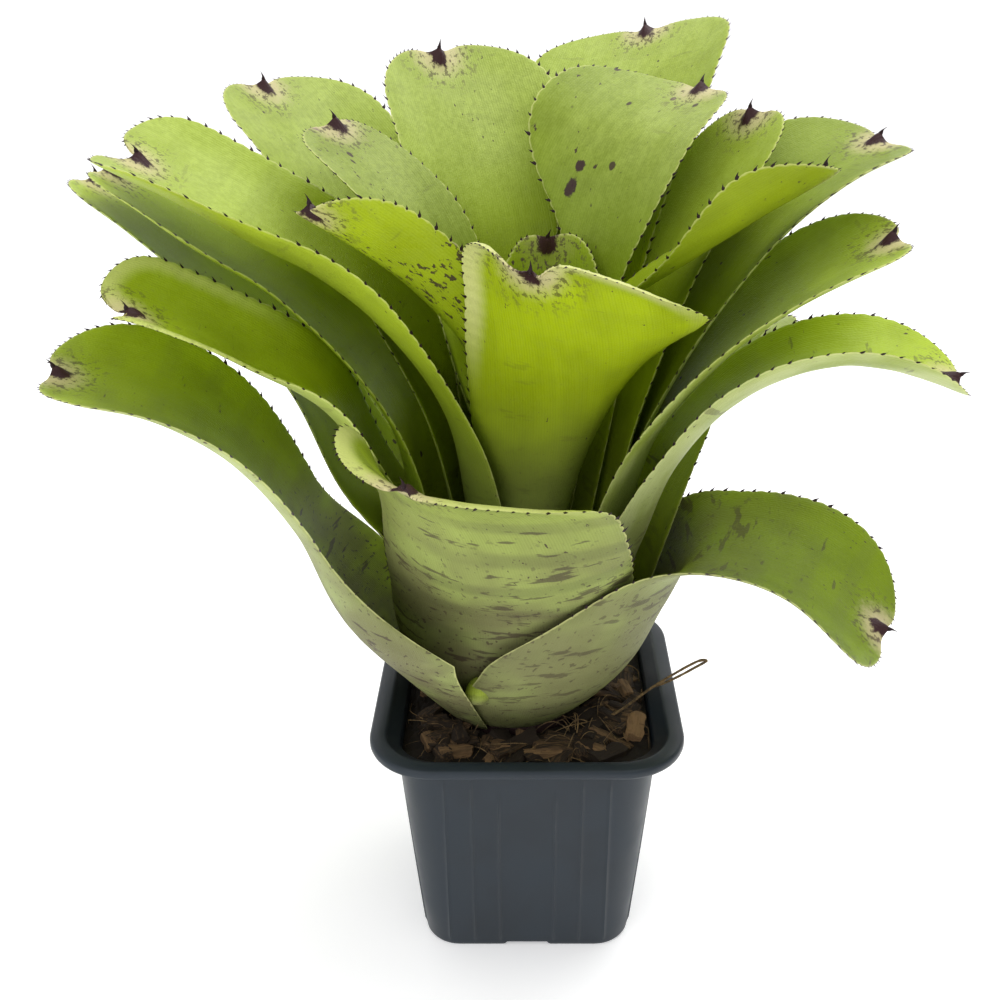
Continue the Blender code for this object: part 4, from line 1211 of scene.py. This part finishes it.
def chip_shapes(draw, places, sizes, turns, tilts, tones):
    """Torn blocks of husk: a rounded oblong carried along a slightly bent line, narrowed and
    roughened at random from section to section, then turned and tilted into place."""
    count, sections, sides = len(places), CHIP_SECTIONS, CHIP_SIDES
    q = np.linspace(-1.0, 1.0, sections)[None, :, None]
    turn = around(sides)
    square = (np.abs(np.cos(turn)) ** CHIP_SQUARE
              + np.abs(np.sin(turn)) ** CHIP_SQUARE) ** (-1.0 / CHIP_SQUARE)
    narrow = draw.uniform(0.82, 1.0, (count, sections, 1)) * (1.0 - 0.12 * np.abs(q) ** 8)
    rough = 1.0 + draw.normal(0.0, 0.07, (count, 1, sides)) + draw.normal(
        0.0, 0.03, (count, sections, sides))
    length_, width, depth = (sizes[:, k, None, None] for k in range(3))
    ragged = 1.0 + 0.07 * draw.normal(size=(count, 1, sides)) * np.abs(q)
    x = 0.5 * length_ * q * ragged
    y = 0.5 * width * narrow * rough * square * np.cos(turn)
    y = y + 0.06 * length_ * draw.uniform(-1, 1, (count, 1, 1)) * q * q
    z = 0.5 * depth * narrow * rough * square * np.sin(turn)
    z = z + 0.05 * length_ * draw.uniform(-1, 1, (count, 1, 1)) * (q * q - 0.3)
    y, z = turned(y, z, np.radians(tilts))
    x, z = turned(x, z, np.radians(0.6 * tilts))
    grain = np.stack((x, y, z), axis=-1) + draw.uniform(0, 90, (count, 1, 1, 3))
    x, y = turned(x, y, np.radians(turns))
    lift = mix_height(places[:, 0], places[:, 1]) + 0.15 * sizes[:, 2]
    points = np.stack((x + places[:, 0, None, None], y + places[:, 1, None, None],
                       z + lift[:, None, None]), axis=-1)
    tone = np.repeat(tones, sections * sides)
    return points.reshape(-1, 3), many_shells(count, sections, sides), grain.reshape(-1, 3), tone


def on_the_mix(draw, count, margin):
    """Random places on the mix: inside the pot's wall by the margin and clear of the plant."""
    half, _ = pot_section(MIX_TOP)
    inner = half - WALL - margin
    spots = draw.uniform(-inner, inner, (count * 4, 2))
    corner = np.maximum(np.abs(spots) - (inner - CORNER_ON_MIX), 0.0)
    rounded = np.hypot(corner[:, 0], corner[:, 1]) < CORNER_ON_MIX
    clear = np.hypot(spots[:, 0] - AXIS_X, spots[:, 1] - AXIS_Y) > HOLE_RADIUS + 2.5
    return spots[rounded & clear][:count]


def make_chips(settings):
    """The large husk chips of the table, and many small ones between them: each column of the
    table is followed by the small ones' random values."""
    draw = np.random.default_rng(SEED + 60)
    small = on_the_mix(draw, settings.chips, 6.5)
    count = len(small)
    small_ones = (small, np.stack([draw.uniform(*span, count) for span in CHIP_SIZES], axis=-1),
                  draw.uniform(0, 360, count), draw.uniform(-CHIP_TILT, CHIP_TILT, count))
    chips = [np.concatenate(pair) for pair in zip(zip(*CHIPS), small_ones)]
    tones = np.concatenate((draw.uniform(0.3, 0.9, len(CHIPS)), draw.uniform(-1.1, 0.5, count)))
    tones[0] = 1.3
    points, faces, grain, tone = chip_shapes(draw, *chips, tones)
    inside = pot_section(MIX_TOP)[0] - WALL - GAP
    points[:, :2] = np.clip(points[:, :2], -inside, inside)
    look = husk_material("husk_chips", settings.dark, settings.light, (0.12, 1.6, 1.6), 0.8)
    single("husk_chips", (points, faces), look, "husk", smooth_angle=42, grain=grain, tone=tone)


def tubes(lines, radius, sides):
    """Tubes round many lines (n, rows, 3): a circle across each line, with closed ends."""
    along = unit(np.gradient(lines, axis=1))
    up = np.zeros_like(along)
    up[..., 2] = 1.0
    aside = unit(np.cross(along, up))
    over = np.cross(aside, along)
    turn = around(sides)[:, None]
    points = lines[:, :, None] + radius[..., None, None] * (
        np.cos(turn) * aside[:, :, None] + np.sin(turn) * over[:, :, None])
    body, ends = many_shells(*lines.shape[:2], sides)
    return points.reshape(-1, 3), [body[:, ::-1], ends[:, ::-1]]


def kept_inside(flat, half, radius):
    """Flat points pulled into a square of a half width with rounded corners."""
    flat = np.clip(flat, -half, half)
    core = half - radius
    corner = np.abs(flat) - core
    over = np.linalg.norm(np.maximum(corner, 0.0), axis=-1, keepdims=True)
    shrink = np.where(over > radius, radius / np.maximum(over, 1e-9), 1.0)
    return np.sign(flat) * np.where(corner > 0.0, core + corner * shrink, np.abs(flat))


def make_fibres(settings):
    """Loose coir fibres: flat arcs that rise a little from the mix and dip back into it."""
    draw = np.random.default_rng(SEED + 90)
    starts = on_the_mix(draw, settings.fibres, 4.0)
    count = len(starts)
    q = np.linspace(0.0, 1.0, FIBRE_ROWS)[None]
    heading = draw.uniform(0, 2 * math.pi, (count, 1))
    curl = draw.normal(0.0, 0.9, (count, 1))
    reach = draw.uniform(*FIBRE_LENGTH, (count, 1))[..., None]
    angle = heading + curl * q
    steps = np.stack((np.cos(angle), np.sin(angle)), axis=-1)
    flat = starts[:, None] + reach * np.cumsum(steps, axis=1) / FIBRE_ROWS
    flat = kept_inside(flat, pot_section(MIX_TOP)[0] - WALL - 1.2, FIBRE_CORNER)
    rise = draw.uniform(*FIBRE_RISE, (count, 1)) * np.sin(math.pi * q) ** 0.8 - 0.3
    height = mix_height(flat[..., 0], flat[..., 1]) + rise
    radius = draw.uniform(*FIBRE_RADIUS, (count, 1)) * (1.0 - 0.5 * q)
    shape = tubes(np.concatenate((flat, height[..., None]), axis=-1), radius, FIBRE_SIDES)
    tone = np.repeat(draw.uniform(0.0, 1.0, count), FIBRE_ROWS * FIBRE_SIDES)
    look = husk_material("coir_fibre", settings.dark, settings.fibre, scale=0.6)
    single("coir_fibres", shape, look, "husk", smooth_angle=80, grain=shape[0], tone=tone)


def smooth_line(points, count):
    """A line through points by cubic pieces: each tangent is half the chord between the points
    beside it."""
    points = np.array(points, dtype=float)
    tangent = np.gradient(points, axis=0)
    at = np.linspace(0.0, len(points) - 1.0, count)
    span = np.minimum(at.astype(int), len(points) - 2)
    return cubic(points, tangent, span, (at - span)[:, None])


def make_root(settings):
    """The loose root: a thin tube whose radius swells and narrows a little."""
    draw = np.random.default_rng(SEED + 120)
    line = smooth_line(ROOT_POINTS, ROOT_ROWS)[None]
    radius = ROOT_RADIUS + ROOT_SWELL * wander(draw, np.linspace(0.0, 60.0, ROOT_ROWS))[None]
    radius[:, -8:] *= np.linspace(1.0, 0.3, 8)
    shape = tubes(line, radius, ROOT_SIDES)
    look = husk_material("root_skin", settings.dark, settings.fibre, scale=0.8)
    single("looped_root", shape, look, "root", ("loose_root",), 80, grain=shape[0], tone=0.4)


def make_stem(settings):
    """The stem: a round profile about the plant's axis, up to the cone under the leaves."""
    profile = (
        (12.0, STEM_FOOT), (STEM_RADIUS - 1.5, STEM_FOOT), (STEM_RADIUS - 0.4, STEM_FOOT + 0.5),
        (STEM_RADIUS, STEM_FOOT + 1.6), (STEM_RADIUS, 66.0), (STEM_RADIUS, STEM_SHOULDER),
        (18.0, 82.0), (12.0, 88.4), (6.0, 94.7), (1.0, STEM_TOP))
    rings = []
    for radius, height in profile:
        flat = circle(radius, STEM_SIDES)
        flat[:, 0] += LEAN * max(height - STEM_SHOULDER, 0.0) * STEM_LEAN_SHARE
        rings.append(level(flat, height))
    shape = closed_stack(np.stack(rings))
    look = husk_material("stem_skin", np.array(settings.blotch) * 0.7, settings.blotch, scale=0.3)
    single("stem_body", shape, look, "stem", ("stem",), 40, grain=shape[0], tone=0.5)


# Stage

def make_floor(settings):
    """A wide pale floor that turns up behind in a quarter circle."""
    across = np.linspace(-FLOOR_HALF, FLOOR_HALF, 9)
    turn = np.linspace(0.0, 0.5 * math.pi, 17)
    back = FLOOR_RISES_AT + FLOOR_TURN
    depth = np.concatenate((
        [-FLOOR_HALF, 0.0], FLOOR_RISES_AT + FLOOR_TURN * np.sin(turn), [back]))
    height = np.concatenate(([0.0, 0.0], FLOOR_TURN * (1.0 - np.cos(turn)), [FLOOR_HALF]))
    x, y = np.meshgrid(across, depth)
    z = np.repeat(height[:, None], len(across), axis=1)
    index = np.arange(x.size).reshape(x.shape)
    mesh = bpy.data.meshes.new("floor")
    points = np.stack((x, y, z), axis=-1).reshape(-1, 3) * MM
    mesh.from_pydata(points.tolist(), [], quads(index).tolist())
    mesh.shade_smooth()
    look = Look("pale_floor")
    look.fill(look.shader, {"Base Color": settings.floor, "Roughness": 0.6,
                            "Emission Color": settings.floor, "Emission Strength": 0.3})
    mesh.materials.append(look.made)
    floor = bpy.data.objects.new("floor", mesh)
    bpy.context.scene.collection.objects.link(floor)
    return floor


def area_light(name, place, size, power):
    """A square soft white light at a place in metres, turned to the middle of the plant."""
    data = bpy.data.lights.new(name, "AREA")
    data.shape, data.size, data.energy = "SQUARE", size, power
    lamp = bpy.data.objects.new(name, data)
    bpy.context.scene.collection.objects.link(lamp)
    lamp.location = place
    aim = Vector(LIGHT_TARGET) - Vector(place)
    lamp.rotation_euler = aim.to_track_quat("-Z", "Y").to_euler()


def make_camera(settings):
    """The camera at the photograph's place, looking down at the plant."""
    data = bpy.data.cameras.new("camera")
    data.lens = settings.focal
    data.sensor_width = CAMERA_SENSOR
    data.shift_x = CAMERA_SHIFT
    camera = bpy.data.objects.new("camera", data)
    bpy.context.scene.collection.objects.link(camera)
    camera.location = CAMERA_PLACE
    camera.rotation_euler = (math.radians(90.0 - CAMERA_DOWN), 0.0, 0.0)
    bpy.context.scene.camera = camera


# Operators

class NEO_OT_pot(bpy.types.Operator):
    """Makes the pleated square pot."""

    bl_idname = "neo.pot"
    bl_label = "Pot"

    def execute(self, context):
        make_pot(context.scene.neo_pot)
        return {"FINISHED"}


class NEO_OT_mix(bpy.types.Operator):
    """Makes the potting mix with its chips and fibres, and the loose root."""

    bl_idname = "neo.mix"
    bl_label = "Potting mix"

    def execute(self, context):
        settings = context.scene.neo_mix
        make_bed(settings)
        make_chips(settings)
        make_fibres(settings)
        make_root(settings)
        return {"FINISHED"}


class NEO_OT_leaves(bpy.types.Operator):
    """Makes the stem, the 24 leaves and the bud at their base."""

    bl_idname = "neo.leaves"
    bl_label = "Leaves"

    def execute(self, context):
        settings = context.scene.neo_leaf
        make_stem(settings)
        veins, marks = vein_group(), mark_group()
        for layer, leaf in enumerate(LEAVES):
            surface = add_leaf(leaf, layer, settings)
            look = leaf_material(leaf, settings, veins, marks)
            surface.piece(leaf.name.replace("leaf_", "blade_"), look, SLOT_OF_LAYER[layer],
                          (leaf.name,), smooth_angle=60)
        make_bud(leaf_material(BUD, settings, veins, marks))
        return {"FINISHED"}


class NEO_OT_stage(bpy.types.Operator):
    """Makes the floor, the lights and the camera."""

    bl_idname = "neo.stage"
    bl_label = "Stage"

    def execute(self, context):
        settings = context.scene.neo_stage
        make_floor(settings)
        world = bpy.data.worlds.new("studio")
        context.scene.world = world
        world.use_nodes = True
        background = world.node_tree.nodes["Background"]
        background.inputs["Color"].default_value = (1.0, 1.0, 1.0, 1.0)
        background.inputs["Strength"].default_value = settings.sky
        area_light("top_light", TOP_LIGHT_PLACE, TOP_LIGHT_SIZE, settings.key)
        area_light("front_light", FRONT_LIGHT_PLACE, FRONT_LIGHT_SIZE,
                   settings.key * FRONT_LIGHT_SHARE)
        make_camera(settings)
        context.scene.view_settings.view_transform = "Standard"
        return {"FINISHED"}


class NEO_PT_panel(bpy.types.Panel):
    """Lists the steps in the sidebar."""

    bl_label = "Neoregelia"
    bl_idname = "NEO_PT_panel"
    bl_space_type = "VIEW_3D"
    bl_region_type = "UI"
    bl_category = "Neoregelia"

    def draw(self, context):
        for step in (NEO_OT_pot, NEO_OT_mix, NEO_OT_leaves, NEO_OT_stage):
            self.layout.operator(step.bl_idname)
        for name in ("neo_leaf", "neo_pot", "neo_mix", "neo_stage"):
            box = self.layout.box()
            settings = getattr(context.scene, name)
            for key in settings.__annotations__:
                box.prop(settings, key)


SETTINGS = {
    "neo_leaf": NeoLeafSettings, "neo_pot": NeoPotSettings, "neo_mix": NeoMixSettings,
    "neo_stage": NeoStageSettings,
}
CLASSES = (*SETTINGS.values(), NEO_OT_pot, NEO_OT_mix, NEO_OT_leaves, NEO_OT_stage, NEO_PT_panel)


def register():
    """Registers the classes and hangs the settings on the scene."""
    for kind in CLASSES:
        bpy.utils.register_class(kind)
    for name, kind in SETTINGS.items():
        setattr(bpy.types.Scene, name, bpy.props.PointerProperty(type=kind))


def unregister():
    """Takes the settings and the classes away again."""
    for name in SETTINGS:
        delattr(bpy.types.Scene, name)
    for kind in reversed(CLASSES):
        bpy.utils.unregister_class(kind)


def main():
    """Makes every piece and the stage."""
    register()
    bpy.ops.neo.pot()
    bpy.ops.neo.mix()
    bpy.ops.neo.leaves()
    bpy.ops.neo.stage()


if __name__ == "__main__":
    main()
